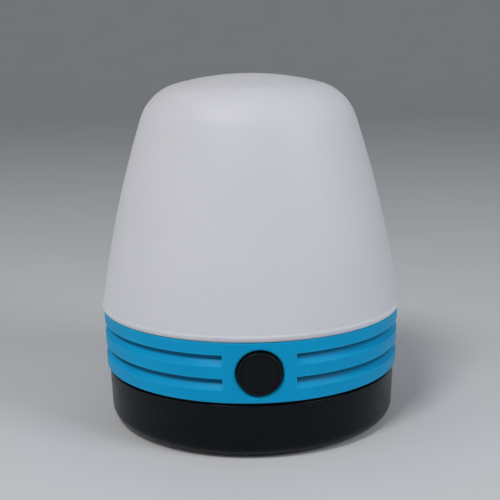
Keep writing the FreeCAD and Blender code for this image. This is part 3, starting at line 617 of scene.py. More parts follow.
@dataclass(frozen=True)
class MouldedPlastic:
    """Moulded plastic with a fine tool grain and faint flow clouds; where it has grooves, their edges are
    lighter, part wear and part painted highlight, and their floors carry painted shade."""

    name: str
    colour: Colour
    rough: float = 0.4
    grain: float = 0.35
    depth: float = 0.006
    clouds: float = 0.06
    # How much lighter pointed edges are drawn: partly wear, partly a painted highlight
    wear_and_highlight: float = 1.7
    shine: float = 0.5
    # recess: painted shade in the grooves, as where it starts and ends from the axis and what is left of the
    # colour
    recess: Optional[Triple] = None
    plain: float = 9.0

    def material(self) -> Material:
        """Clouds, worn edges with a painted highlight and painted groove shade tint the colour; grain drives
        the relief and the roughness.

        Returns:
            The finish.
        """
        nodes = NodeBuilder(self.name)
        tint = nodes.mix(nodes.spanned(nodes.noise(18, 3)), lighter(self.colour, 1 - self.clouds),
                         lighter(self.colour, 1 + self.clouds))
        # Grooved pieces get edge wear with a painted highlight, then painted shade in the grooves
        if self.recess:
            tint = self._painted_groove_shade(nodes, self._worn_and_highlit_edges(nodes, tint))
        fine = nodes.noise(self.grain, 3)
        coarse = nodes.noise(self.grain * 14, 2)
        both = nodes.maths("ADD", fine, coarse)
        rough = nodes.remap(both, 0.7, 1.3, self.rough - 0.05, self.rough + 0.07)
        relief = nodes.bump(coarse, self.depth * 2, nodes.bump(fine, self.depth))
        return nodes.finish(tint, rough, relief, IOR=1.5, Specular_IOR_Level=self.shine)

    def _worn_and_highlit_edges(self, nodes: NodeBuilder, colour: Socket) -> Socket:
        """Lightens a colour on outer edges, in patches: partly wear, partly a painted highlight.

        Args:
            nodes: the material's builder.
            colour: the colour so far.

        Returns:
            The colour, nearer to its lighter tone the more pointed the surface is.
        """
        # Edge wear and a painted highlight on pointed edges, in patches
        edge = nodes.add("NewGeometry").outputs["Pointiness"]
        edge_wear_and_highlight = nodes.maths("MULTIPLY", nodes.remap(edge, 0.51, 0.56, 0, 1.3), nodes.noise(2.5, 4))
        return nodes.mix(edge_wear_and_highlight, colour, lighter(self.colour, self.wear_and_highlight, 0.012))

    def _painted_groove_shade(self, nodes: NodeBuilder, colour: Socket) -> Socket:
        """Paints shade into the grooves: darkens the colour where the surface lies sunk, in place of their
        shadow.

        Args:
            nodes: the material's builder.
            colour: the colour so far.

        Returns:
            The colour with painted shade, darker the nearer a place is to the vertical axis: recess holds the
            distances from the axis where the painted shade starts and ends, and what is left of the colour
            there. The front stays unshaded within plain of the middle.
        """
        # Painted shade: darker where the grooved surface sinks towards the axis
        start, end, left = self.recess
        place = nodes.add("SeparateXYZ", {0: nodes.place()}).outputs
        flat = nodes.add("CombineXYZ", {0: place[0], 1: place[1]}).outputs[0]
        distance = nodes.add("VectorMath", {0: flat}, operation="LENGTH").outputs["Value"]
        beside = nodes.maths("SUBTRACT", nodes.maths("ABSOLUTE", place[0], 0.0), self.plain)
        grooved = nodes.maths("GREATER_THAN", nodes.maths("MAXIMUM", beside, place[1]), 0.0)
        share = nodes.maths("MULTIPLY", nodes.remap(distance, end, start, 1, 0), grooved)
        return nodes.mix(share, colour, lighter(self.colour, left))


@dataclass(frozen=True)
class FrostedPlastic:
    """Milky, satin plastic that lets light soak in a little way."""

    name: str
    colour: Colour
    rough: float = 0.5
    soak: float = 3.5

    def material(self) -> Material:
        """A fine frost drives relief and roughness, and a wide cloud shifts the milk's density.

        Returns:
            The finish.
        """
        nodes = NodeBuilder(self.name)
        cloud = nodes.spanned(nodes.noise(30, 3))
        milk = nodes.mix(cloud, lighter(self.colour, 0.975), lighter(self.colour, 1.02))
        frost = nodes.noise(0.22, 4)
        rough = nodes.spanned(frost, self.rough - 0.06, self.rough + 0.06)
        relief = nodes.bump(nodes.noise(9, 2), 0.02, nodes.bump(frost, 0.004))
        return nodes.finish(milk, rough, relief, IOR=1.46, Subsurface_Weight=0.9,
                            Subsurface_Radius=(1.0, 1.0, 1.1), Subsurface_Scale=self.soak * MM)


@dataclass(frozen=True)
class Rubber:
    """Dull rubber with a little dust in its pores."""

    name: str
    colour: Colour
    rough: float = 0.72

    def material(self) -> Material:
        """Pores drive the relief, and dust lightens the colour in patches.

        Returns:
            The finish.
        """
        nodes = NodeBuilder(self.name)
        dust = nodes.remap(nodes.noise(3.5, 5), 0.48, 0.75, 0, 0.35)
        pores = nodes.noise(0.18, 3)
        colour = nodes.mix(dust, self.colour, lighter(self.colour, 1.5, 0.03))
        rough = nodes.spanned(pores, self.rough - 0.06, self.rough + 0.08)
        return nodes.finish(colour, rough, nodes.bump(pores, 0.012))


@dataclass(frozen=True)
class PlatedMetal:
    """Plated metal with drawn lines, and a few dull spots."""

    name: str
    colour: Colour
    rough: float = 0.28
    lines: Triple = (0.2, 1.0, 1.0)

    def material(self) -> Material:
        """Noise stretched along the lines drives relief and roughness; a wide noise dulls patches.

        Returns:
            The finish.
        """
        nodes = NodeBuilder(self.name)
        drawn = nodes.noise(0.12, 3, self.lines)
        dull = nodes.noise(2.2, 4)
        colour = nodes.mix(nodes.remap(dull, 0.45, 0.75, 0, 1), self.colour, lighter(self.colour, 0.72))
        both = nodes.maths("ADD", drawn, dull)
        rough = nodes.remap(both, 0.7, 1.35, self.rough - 0.07, self.rough + 0.16)
        return nodes.finish(colour, rough, nodes.bump(drawn, 0.004), Metallic=1.0)


@dataclass(frozen=True)
class CellJacket:
    """Printed sleeve of a cell: dark with a coloured band at its raised end, and bare metal ends."""

    name: str
    raised_end: float
    flat_end: float
    sleeve: Colour = srgb(28, 30, 34)
    band: Colour = srgb(176, 104, 52)
    line: Colour = (0.75, 0.75, 0.75)
    metal: Colour = srgb(200, 200, 198)
    band_share: float = 0.27
    line_place: Pair = (0.28, 0.012)
    jacket: Pair = (0.505, 0.478)

    def material(self) -> Material:
        """The place along X, as a share from the raised end to the flat end, picks the colour.

        Returns:
            The finish: line_place and jacket hold a middle and how far each side of it they reach.
        """
        nodes = NodeBuilder(self.name)
        along = nodes.add("SeparateXYZ", {0: nodes.place()}).outputs[0]
        share = nodes.remap(along, self.raised_end, self.flat_end, 0, 1)
        in_band = nodes.maths("LESS_THAN", share, self.band_share)
        on_line = nodes.maths("COMPARE", share, *self.line_place)
        middle, reach = self.jacket
        off = nodes.maths("ABSOLUTE", nodes.maths("SUBTRACT", share, middle), 0.0)
        in_end = nodes.maths("GREATER_THAN", off, reach)
        flaw = nodes.remap(nodes.noise(0.5, 4), 0.35, 0.65, 0, 0.12)
        sleeve = nodes.mix(flaw, self.sleeve, lighter(self.sleeve, 2.2))
        colour = nodes.mix(in_band, sleeve, nodes.mix(flaw, self.band, lighter(self.band, 0.6)))
        colour = nodes.mix(in_end, nodes.mix(on_line, colour, self.line), self.metal)
        rough = nodes.spanned(nodes.noise(1.2, 3), 0.26, 0.36)
        return nodes.finish(colour, rough, nodes.bump(nodes.noise(0.3, 2), 0.003), Metallic=in_end)


@dataclass(frozen=True)
class CircuitBoard:
    """Board under solder mask, with copper runs showing through."""

    name: str
    mask: Colour
    copper: Colour
    pitch: float = 2.2

    def material(self) -> Material:
        """A brick pattern gives square runs; its mortar is bare mask, its bricks lie over copper.

        Returns:
            The finish.
        """
        nodes = NodeBuilder(self.name)
        inputs = {"Vector": nodes.place(), "Scale": 1 / self.pitch, "Mortar Size": 0.06,
                  "Color1": (1, 1, 1), "Color2": (0.6, 0.6, 0.6), "Mortar": (0, 0, 0)}
        runs = nodes.add("TexBrick", inputs).outputs["Color"]
        colour = nodes.mix(nodes.remap(runs, 0, 1, 0, 0.8), self.mask, self.copper)
        rough = nodes.spanned(nodes.noise(0.4, 2), 0.3, 0.42)
        return nodes.finish(colour, rough, nodes.bump(runs, 0.02))


@dataclass(frozen=True)
class Phosphor:
    """Yellow phosphor under a clear, slightly domed lens."""

    name: str
    colour: Colour

    def material(self) -> Material:
        """Grains of phosphor vary the colour below a glossy coat.

        Returns:
            The finish.
        """
        nodes = NodeBuilder(self.name)
        grains = nodes.noise(0.25, 3)
        colour = nodes.mix(nodes.spanned(grains), self.colour, lighter(self.colour, 0.8))
        rough = nodes.spanned(grains, 0.18, 0.3)
        return nodes.finish(colour, rough, nodes.bump(grains, 0.01), Coat_Weight=0.6)


@dataclass(frozen=True)
class Palette:
    """Every finish of the lantern but the cells' own sleeves."""

    shade: FrostedPlastic = FrostedPlastic("frosted_shade", srgb(226, 226, 236))
    # The collar's recess values paint shade into its grooves; its edges get wear with a painted highlight
    collar: MouldedPlastic = MouldedPlastic("collar_plastic", srgb(0, 159, 214), rough=0.4, clouds=0.05,
                                            shine=0.12, recess=(45.8, 45.2, 0.4))
    base: MouldedPlastic = MouldedPlastic("base_plastic", srgb(2, 8, 17), rough=0.28, depth=0.003, shine=0.16)
    button: MouldedPlastic = MouldedPlastic("button_plastic", srgb(3, 7, 13), rough=0.36, grain=0.2,
                                            shine=0.18)
    hook: MouldedPlastic = MouldedPlastic("hook_plastic", srgb(34, 38, 44), rough=0.45)
    tray: MouldedPlastic = MouldedPlastic("tray_plastic", srgb(58, 61, 66), rough=0.5)
    white: MouldedPlastic = MouldedPlastic("white_plastic", srgb(236, 236, 232), rough=0.35)
    switch: MouldedPlastic = MouldedPlastic("switch_plastic", srgb(30, 30, 32), rough=0.45, grain=0.15)
    foot: Rubber = Rubber("foot_rubber", srgb(48, 49, 52))
    seal: Rubber = Rubber("seal_rubber", srgb(70, 70, 74))
    red_wire: Rubber = Rubber("red_insulation", srgb(178, 30, 26), rough=0.45)
    black_wire: Rubber = Rubber("black_insulation", srgb(32, 32, 34), rough=0.45)
    screw: PlatedMetal = PlatedMetal("zinc_plate", srgb(196, 197, 200))
    nickel: PlatedMetal = PlatedMetal("nickel_plate", srgb(214, 210, 200), rough=0.2, lines=(1.0, 1.0, 0.2))
    board: CircuitBoard = CircuitBoard("switch_board_mask", srgb(20, 96, 58), srgb(34, 128, 74))
    led_board: CircuitBoard = CircuitBoard("led_board_mask", srgb(226, 228, 226), srgb(240, 238, 230), 3.4)
    led: Phosphor = Phosphor("led_phosphor", srgb(240, 205, 92))


# ------------------------------------------------------------------ sub-assemblies


@dataclass
class Shade:
    """Frosted shade: a slightly convex cone under a low crown, with a rounded lip and a spigot."""

    palette: Palette
    foot: float = measured("collar", 1, 2)
    top: float = measured("diffuser", 1, 2)
    radius: float = 47.5
    lip_height: float = 1.5
    lip_inset: float = 0.6
    bead: float = 0.5
    side_foot: float = 47.1
    side_arc: float = 348
    corner: Pair = (33.45, 59.1)
    corner_arc: float = 16
    crown: Pair = (22.28, 69.55)
    wall: float = 1.8
    spigot: Pair = (42.2, 43.9)
    spigot_depth: float = 5
    inner_step: Pair = (1.6, 2.2)

    def outline(self, inset: float) -> Array:
        """Half section of one face of the shade.

        Args:
            inset: how far inside the outer face it runs.

        Returns:
            (n, 2) points from the side's foot up to the crown: the side's arc, the corner's arc and the
            crown's arc, each with its radius less the inset and its ends moved in along their normals.
        """
        corner = np.array([self.corner[0], self.foot + self.corner[1]])
        crown = np.array([self.crown[0], self.foot + self.crown[1]])
        foot = np.array([self.side_foot, self.foot + self.lip_height + self.bead])
        rise = self.top - crown[1]
        crown_arc = (crown[0] ** 2 + rise**2) / (2 * rise)
        lean = math.asin(crown[0] / crown_arc)
        crown_in = crown - inset * np.array([math.sin(lean), math.cos(lean)])
        heading = corner - arc(foot, corner, self.side_arc, 48)[-1]
        corner_in = corner - inset * np.array([heading[1], -heading[0]]) / np.hypot(*heading)
        foot_in = foot - np.array([inset, 0])
        apex = np.array([0.0, self.top - inset])
        return np.concatenate([
            arc(foot_in, corner_in, self.side_arc - inset, 48),
            arc(corner_in, crown_in, self.corner_arc - inset, 20),
            arc(crown_in, apex, crown_arc - inset, 28), apex[None]])

    def surface(self) -> Surface:
        """Outer face, lip, spigot and inner face as one closed section turned about Z.

        Returns:
            The closed surface.
        """
        lip_foot, lip_top = self.radius - self.lip_inset, self.foot + self.lip_height
        lip_arc = (self.lip_inset**2 + self.lip_height**2) / (2 * self.lip_inset)
        lip = arc((lip_foot, self.foot), (self.radius, lip_top), lip_arc, 6)
        bead = filleted([(self.radius, lip_top - 0.3), (self.radius, lip_top + self.bead / 2, 0.2),
                         (self.side_foot + 0.02, lip_top + self.bead)], steps=4)
        inner = self.outline(self.wall)[::-1]
        low = self.foot - self.spigot_depth
        bore, outside = self.spigot
        shelf, ramp = (self.foot + step for step in self.inner_step)
        spigot = filleted([(inner[-1][0], ramp), (bore, shelf, 0.4), (bore, low, 0.4), (outside, low, 0.4),
                           (outside, self.foot, 0.2), (lip_foot, self.foot)], steps=4)
        return turned(np.concatenate([lip, bead, self.outline(0), inner, spigot[:-1]]), 224)

    def build(self) -> None:
        """Makes the shade."""
        item = make_object("frosted_shade", self.surface(), self.palette.shade.material(), 40)
        install(item, Body.HOUSING, "diffuser")


@dataclass
class Collar:
    """Coloured ring with two wedge grooves that stop each side of the button's bore.

    brow_rows are (above a groove's top edge, depth), and step_rows (below it, short of the full depth).
    foot_rows are (above its foot, depth). end_rows are (degrees past the groove's end, share of its
    depth). tube_turns are (inset from the tube's inner or outer radius, distance from the vertical axis)
    down its bore and back.
    """

    palette: Palette
    low: float = measured("collar", 0, 2)
    high: float = measured("collar", 1, 2)
    button_z: float = field(default_factory=button_height)
    low_radius: float = 46.5
    high_radius: float = 46.9
    inner_radius: float = 44.1
    edge: float = 0.6
    plain_row: float = 2.0
    grooves: Pair = (4.0, 11.0)
    groove_width: float = 3.3
    groove_depth: float = 1.6
    groove_square: float = 1.1
    groove_end_deg: float = 13.1
    brow_rows: tuple[Pair, ...] = ((0, 0.3), (0.04, 0.12), (0.13, 0.03), (0.3, 0.0), (1.2, 0.0))
    step_rows: tuple[Pair, ...] = ((0.45, 0), (0.16, 0.03), (0.05, 0.13), (0, 0.3))
    foot_rows: tuple[Pair, ...] = ((-0.9, 0.0), (-0.12, 0.0), (0.02, 0.02))
    end_rows: tuple[Pair, ...] = ((-0.4, 0), (-0.12, 0), (-0.04, 0.06), (0.02, 0.5), (0.07, 0.94), (0.2, 1),
                                  (0.5, 1), (1.2, 1))
    pitch_deg: float = 1.5
    patch_deg: float = 12.3
    bore: float = 6.75
    bore_edge: float = 1.0
    tube_radius: float = 7.95
    tube_turns: tuple[Pair, ...] = ((0, 43.5), (0, 40.55), (0.15, 40.4))
    tube_end: float = 44.8
    ledge: Triple = (36.0, 28.8, 30.6)

    def radius_at(self, height: Array) -> Array:
        """Outer radius at a height: a straight taper."""
        share = (height - self.low) / (self.high - self.low)
        return self.low_radius + (self.high_radius - self.low_radius) * share

    def rows(self) -> tuple[Array, Array]:
        """Heights of the band's rows, and how deep each row runs where it is grooved.

        Returns:
            Heights from the bottom up, and depths. A groove is square under its upper edge and runs out
            in a straight slope below, with both its sharp turns rounded by a few close rows.
        """
        full = self.groove_depth
        pairs = [(self.low + self.edge, 0.0), (self.low + self.plain_row, 0.0)]
        for start in sorted(self.grooves, reverse=True):
            top = self.high - start
            foot = top - self.groove_width
            pairs += [(foot + up, depth) for up, depth in self.foot_rows]
            pairs += [(foot + share * (self.groove_width - self.groove_square), share * full)
                      for share in np.linspace(0.06, 1, 9)]
            pairs += [(top - down, full - short) for down, short in self.step_rows]
            pairs += [(top + up, depth) for up, depth in self.brow_rows]
        pairs += [(self.high - self.plain_row, 0.0), (self.high - self.edge, 0.0)]
        return tuple(np.array(pairs).T)

    def band_angles(self) -> tuple[Array, Array]:
        """Angles from the button's axis round the back, and how fully each one is grooved.

        Returns:
            The angles in radians, and the shares of the full depth.
        """
        past, share = np.array(self.end_rows).T
        near = np.concatenate([[self.patch_deg], past + self.groove_end_deg])
        share = np.concatenate([[0.0], share])
        middle = np.arange(near[-1] + self.pitch_deg, 360 - near[-1] - self.pitch_deg / 2, self.pitch_deg)
        angles = np.concatenate([near, middle, 360 - near[::-1]])
        return np.radians(angles), np.concatenate([share, np.ones(len(middle)), share[::-1]])

    def front_angles(self) -> Array:
        """Angles across the plain patch round the button."""
        return np.radians(np.linspace(-self.patch_deg, self.patch_deg, 25))

    def ring_round_bore(self, x: Array, height: Array, depth: float = 0.0) -> Array:
        """Points at places seen from the front, at or below the outer face: the circle of that height."""
        return np.stack([x, depth - np.sqrt(self.radius_at(height) ** 2 - x**2), height], axis=1)

    def band(self) -> Surface:
        """Grooved wall: each point lies at (R - depth) along its angle.

        Returns:
            The wall from one side of the patch round to the other.
        """
        heights, depths = self.rows()
        angles, shares = self.band_angles()
        radius = self.radius_at(heights)[:, None] - depths[:, None] * shares
        height = heights[:, None] + 0 * shares
        return grid(np.stack([radius * np.sin(angles), -radius * np.cos(angles), height], axis=-1))

    def patch(self) -> Surface:
        """Wall round the bore: rings that change from the patch's outline to the bore's circle, then
        round its edge, run down the tube, turn its end and come back along its outside.

        Returns:
            The wall with its tube.
        """
        heights = self.rows()[0]
        front = self.front_angles()
        side = math.radians(self.patch_deg)
        edges = [(np.full(len(heights), side), heights),
                 (front[::-1][1:], np.full(len(front) - 1, heights[-1])),
                 (np.full(len(heights) - 1, -side), heights[::-1][1:]),
                 (front[1:-1], np.full(len(front) - 2, heights[0]))]
        angle, height = (np.concatenate(part) for part in zip(*edges))
        x = self.radius_at(height) * np.sin(angle)
        towards = np.arctan2(height - self.button_z, x)
        across, up = np.cos(towards), np.sin(towards)
        outer = self.bore + self.bore_edge
        rings = [self.ring_round_bore(outer * across * (1 - share) + x * share,
                                      (self.button_z + outer * up) * (1 - share) + height * share)
                 for share in np.linspace(1, 0, 9) ** 1.3]
        for turn in np.linspace(0.25, 1, 4) * math.pi / 2:
            radius = outer - self.bore_edge * math.sin(turn)
            depth = self.bore_edge * (1 - math.cos(turn))
            rings.append(self.ring_round_bore(radius * across, self.button_z + radius * up, depth))
        tube = [(self.bore + inset, back) for inset, back in self.tube_turns]
        tube += [(self.tube_radius - inset, back) for inset, back in self.tube_turns[:0:-1]]
        for radius, back in (*tube, (self.tube_radius, self.tube_end)):
            ring = [radius * across, np.full_like(x, -back), self.button_z + radius * up]
            rings.append(np.stack(ring, axis=1))
        return grid(np.stack(rings), close_columns=True)

    def ring(self) -> Surface:
        """The rest of the ring's section: rounded edges, end faces, inner wall and ledge.

        Returns:
            The surface, left open where the button's tube passes through the inner wall.
        """
        inner_ledge, ledge_low, ledge_high = self.ledge
        step, inner = self.edge, self.inner_radius
        low_out, high_out = ((float(self.radius_at(z)), z) for z in (self.low + step, self.high - step))
        low_in, high_in = (self.low_radius - step, self.low), (self.high_radius - step, self.high)
        inside = filleted([high_in, (inner, self.high, 0.3), (inner, ledge_high),
                           (inner_ledge, ledge_high, 0.2), (inner_ledge, ledge_low, 0.2),
                           (inner, ledge_low), (inner, self.low, 0.3), low_in])
        turn = step * 1.02
        section = np.concatenate([arc(high_out, high_in, turn, 5), inside[:-1],
                                  arc(low_in, low_out, turn, 5), [low_out]])
        angles = np.concatenate([self.front_angles()[:-1], self.band_angles()[0][:-1]])
        whole = grid(swept(section, np.sin(angles), -np.cos(angles)), close_columns=True)
        x, y, z = whole.points[whole.quads].mean(axis=1).T
        in_tube = np.hypot(x, z - self.button_z) < self.tube_radius
        on_inner_wall = np.hypot(x, y) < inner + 0.3
        return whole.without(in_tube & on_inner_wall & (y < 0))

    def build(self) -> None:
        """Makes the collar."""
        surface = joined(self.band(), self.patch(), self.ring())
        item = make_object("grooved_collar", surface, self.palette.collar.material(), 32)
        install(item, Body.HOUSING, "collar")


@dataclass
class PowerButton:
    """Round black button with a rim, a shallow dome and one raised bar."""

    palette: Palette
    face: float = measured("button_cap", 0, 1, -1)
    back: float = measured("button_cap", 1, 1, -1)
    height: float = field(default_factory=button_height)
    seat: float = measured("switch_body", 0, 1)
    cap: float = 6.4
    skirt: float = 6.67
    skirt_front: float = 45.2
    flange: float = 7.6
    flange_front: float = 40.35
    brow_drop: float = 0.55 * 0.45
    dome_drop: float = 0.1
    pole_drop: float = 0.28
    rim: float = 1.1
    ring_groove: Triple = (0.16, 0.1, 0.2)
    bar: Triple = (0.9, 3.6, 0.6)
    spring: Pair = (2.9, 0.3)
    spring_play: float = 0.1
    travel: float = 1.2

    def surface(self) -> Surface:
        """Turned cap: flange, skirt, rim, a fine ring groove and the dome (a shallow circle's arc).

        Returns:
            The closed surface about +Z.
        """
        brow = self.face - self.brow_drop
        inner = self.cap - self.rim
        pole, dome_foot = self.face - self.pole_drop, brow - self.dome_drop
        rise = pole - dome_foot
        sphere = (inner**2 + rise**2) / (2 * rise)
        wide, low_wide, deep = self.ring_groove
        edge = filleted([(0.0, self.back), (self.flange, self.back, 0.25),
                         (self.flange, self.flange_front, 0.25), (self.skirt, self.flange_front),
                         (self.skirt, self.skirt_front, 0.1), (self.cap, self.skirt_front),
                         (self.cap, brow, 0.42), (inner + wide, brow, 0.12),
                         (inner + low_wide, brow - deep, 0.05), (inner, brow - deep, 0.05),
                         (inner, dome_foot)], steps=6)
        crown = arc((inner, dome_foot), (0, pole), sphere, 12)
        return turned(np.concatenate([edge[:-1], crown, [[0, pole]]]), 96)

    def build(self) -> None:
        """Makes the cap with its bar, and the spring behind it."""
        width, length, root = self.bar
        turn = width / 2 * 0.9
        outline = box_outline(width / 2, -length / 2, length / 2, (turn, turn))
        bar = slab(outline, [], self.face - root, self.face, 0.12)
        whole = joined(self.surface(), bar).moved((0, 0, self.height), Along.FRONT)
        item = make_object("button_cap_moulded", whole, self.palette.button.material(), 34)
        install(item, Body.BUTTON, "button_cap")

        room = self.seat + self.back
        wound = coil(*self.spring, room - self.spring_play)
        wound = wound.moved((0, self.spring_play / 2 - self.back, self.height), Along.BACK)
        spring = make_object("button_return_spring", wound, self.palette.nickel.material(), 60, False)
        install(spring, Body.HOUSING, "return_spring")
        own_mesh(spring)


@dataclass
class Underside:
    """Sizes that the base, the door and the hook share."""

    door_half: Pair = (30.05, 23.75)
    door_middle: float = -4.0
    door_gap: float = 0.25
    door_corner: float = 1.5
    front_corner: float = 0.3
    swing_room: float = 0.2
    hook_half: float = 20.0
    hook_radius: float = 39.6
    hook_gap: float = 0.4
    bar_radius: float = 1.6
    eye_half: float = 16.4
    eye_front: float = 26.8
    eye_radius: float = 35.8

    def door_opening(self) -> Array:
        """Outline of the door's opening: the door's own, a gap wider all round, and with room in front.

        Returns:
            The outline, counter-clockwise.
        """
        wide, deep = (half + self.door_gap for half in self.door_half)
        low = self.door_middle - deep - self.swing_room
        return box_outline(wide, low, self.door_middle + deep, (self.front_corner, self.door_corner))

    @staticmethod
    def bow(half: float, front: float, radius: float, turn: float) -> Array:
        """Outline with a straight front and sides, and a back that is an arc about the lantern's axis.

        Args:
            half: half its width.
            front: Y of its front.
            radius: the back's radius.
            turn: radius of its corners.

        Returns:
            The outline, counter-clockwise.
        """
        back = math.sqrt(radius**2 - half**2)
        sweep = arc((half, back), (-half, back), radius, 24)[1:]
        corners = [(-half, front, turn), (half, front, turn), (half, back, turn)]
        corners += [tuple(point) for point in sweep]
        return filleted([*corners, (-half, back, turn)], closed=True, steps=5)


@dataclass
class Base:
    """Black base: rounded wall, and an underside with the door's opening, the hook's recess, deep screw
    holes and seats for the feet."""

    palette: Palette
    under: Underside
    low: float = measured("base_housing", 0, 2)
    spigot_top: float = measured("base_housing", 1, 2)
    joint: float = measured("collar", 0, 2)
    hook_front: float = measured("hanging_hook", 0, 1)
    hook_top: float = measured("hanging_hook", 1, 2)
    low_radius: float = 45.3
    high_radius: float = 45.8
    edge: float = 4.0
    wall: float = 2.4
    reveal: float = 0.8
    spigot: float = 43.9
    spigot_wall: float = 1.5
    floor_top: float = 3.0
    screw_places: Pair = (36.4, 12.0)
    counterbore: float = 2.9
    counterbore_top: float = 9.0
    foot_radius: float = 3.0
    foot_gap: float = 0.05
    foot_places: Pair = (14.0, 28.5)
    seat: float = 1.0
    rim: float = 0.25

    def feet(self) -> list[Pair]:
        """Plan places of the four feet, from the foot node's own corners.

        Returns:
            The two rear ones, then the front ones, whose X stands to the rear ones' as in foot_places.
        """
        low, high = node_box("foot_pads")
        near, far = self.foot_places
        wide, rear = high[0] - self.foot_radius, high[1] - self.foot_radius
        front = low[1] + self.foot_radius
        return [(wide, rear), (-wide, rear), (wide * near / far, front), (-wide * near / far, front)]

    def outside(self) -> Surface:
        """Wall turned about Z, from the flat underside round the bottom edge, up past the shadow gap and
        the spigot, and down its inside.

        Returns:
            The wall, open at the flat underside.
        """
        flat, inner = self.low_radius - self.edge, self.low_radius - self.wall
        outer, neck = self.high_radius, self.high_radius - self.reveal
        bend, shoulder = self.low + self.edge, self.joint - self.reveal
        bottom = arc((flat, self.low), (self.low_radius, bend), self.edge, 12)
        rest = filleted([(self.low_radius, bend), (outer, shoulder, 0.35), (neck, shoulder),
                         (neck, self.joint), (self.spigot, self.joint), (self.spigot, self.spigot_top, 0.3),
                         (self.spigot - self.spigot_wall, self.spigot_top, 0.3), (inner, self.joint - 2),
                         (inner, self.floor_top), (flat, self.floor_top)])
        return turned(np.concatenate([bottom, rest]), 224)

    def hollow(self, outline: Array, top: float, closed: bool = True) -> Surface:
        """Hollow in the underside, with its lower edge rounded.

        Args:
            outline: its outline.
            top: how high it goes.
            closed: whether it has a flat top.

        Returns:
            Its wall and top.
        """
        rounded = edge_rows(self.low, top + self.rim, self.rim)[:5]
        wall = strip(outline, [*((-out, z) for out, z in rounded), (0.0, top)]).flipped()
        return joined(wall, filled(outline, [], top, False)) if closed else wall

    def surface(self) -> Surface:
        """Everything but the feet.

        Returns:
            The closed surface.
        """
        flat = circle(0, 0, self.low_radius - self.edge, 224)
        door, gap = self.under.door_opening(), self.under.hook_gap
        recess = self.under.bow(self.under.hook_half + gap, self.hook_front - gap,
                                self.under.hook_radius + gap, 0.6)
        wide, deep = self.screw_places
        bores = [circle(x * wide, y * deep, self.counterbore, 40) for x in (1, -1) for y in (1, -1)]
        seats = [circle(x, y, self.foot_radius + self.foot_gap, 40) for x, y in self.feet()]
        rims = [spread(hole, self.rim) for hole in (door, recess, *bores, *seats)]
        return joined(
            self.outside(), filled(flat, rims, self.low, False), self.hollow(door, self.floor_top, False),
            filled(flat, [door], self.floor_top, True), self.hollow(recess, self.hook_top + gap),
            *[self.hollow(bore, self.counterbore_top) for bore in bores],
            *[self.hollow(seat, self.low + self.seat) for seat in seats])

    def build(self) -> None:
        """Makes the base and its feet."""
        item = make_object("base_shell", self.surface(), self.palette.base.material(), 32)
        install(item, Body.HOUSING, "base_housing")
        pad = rod(self.foot_radius, self.low + self.seat, (0.45, 0.1), 48)
        feet = joined(*[pad.moved((x, y, 0)) for x, y in self.feet()])
        pads = make_object("rubber_feet", feet, self.palette.foot.material(), 50)
        install(pads, Body.HOUSING, "foot_pads")


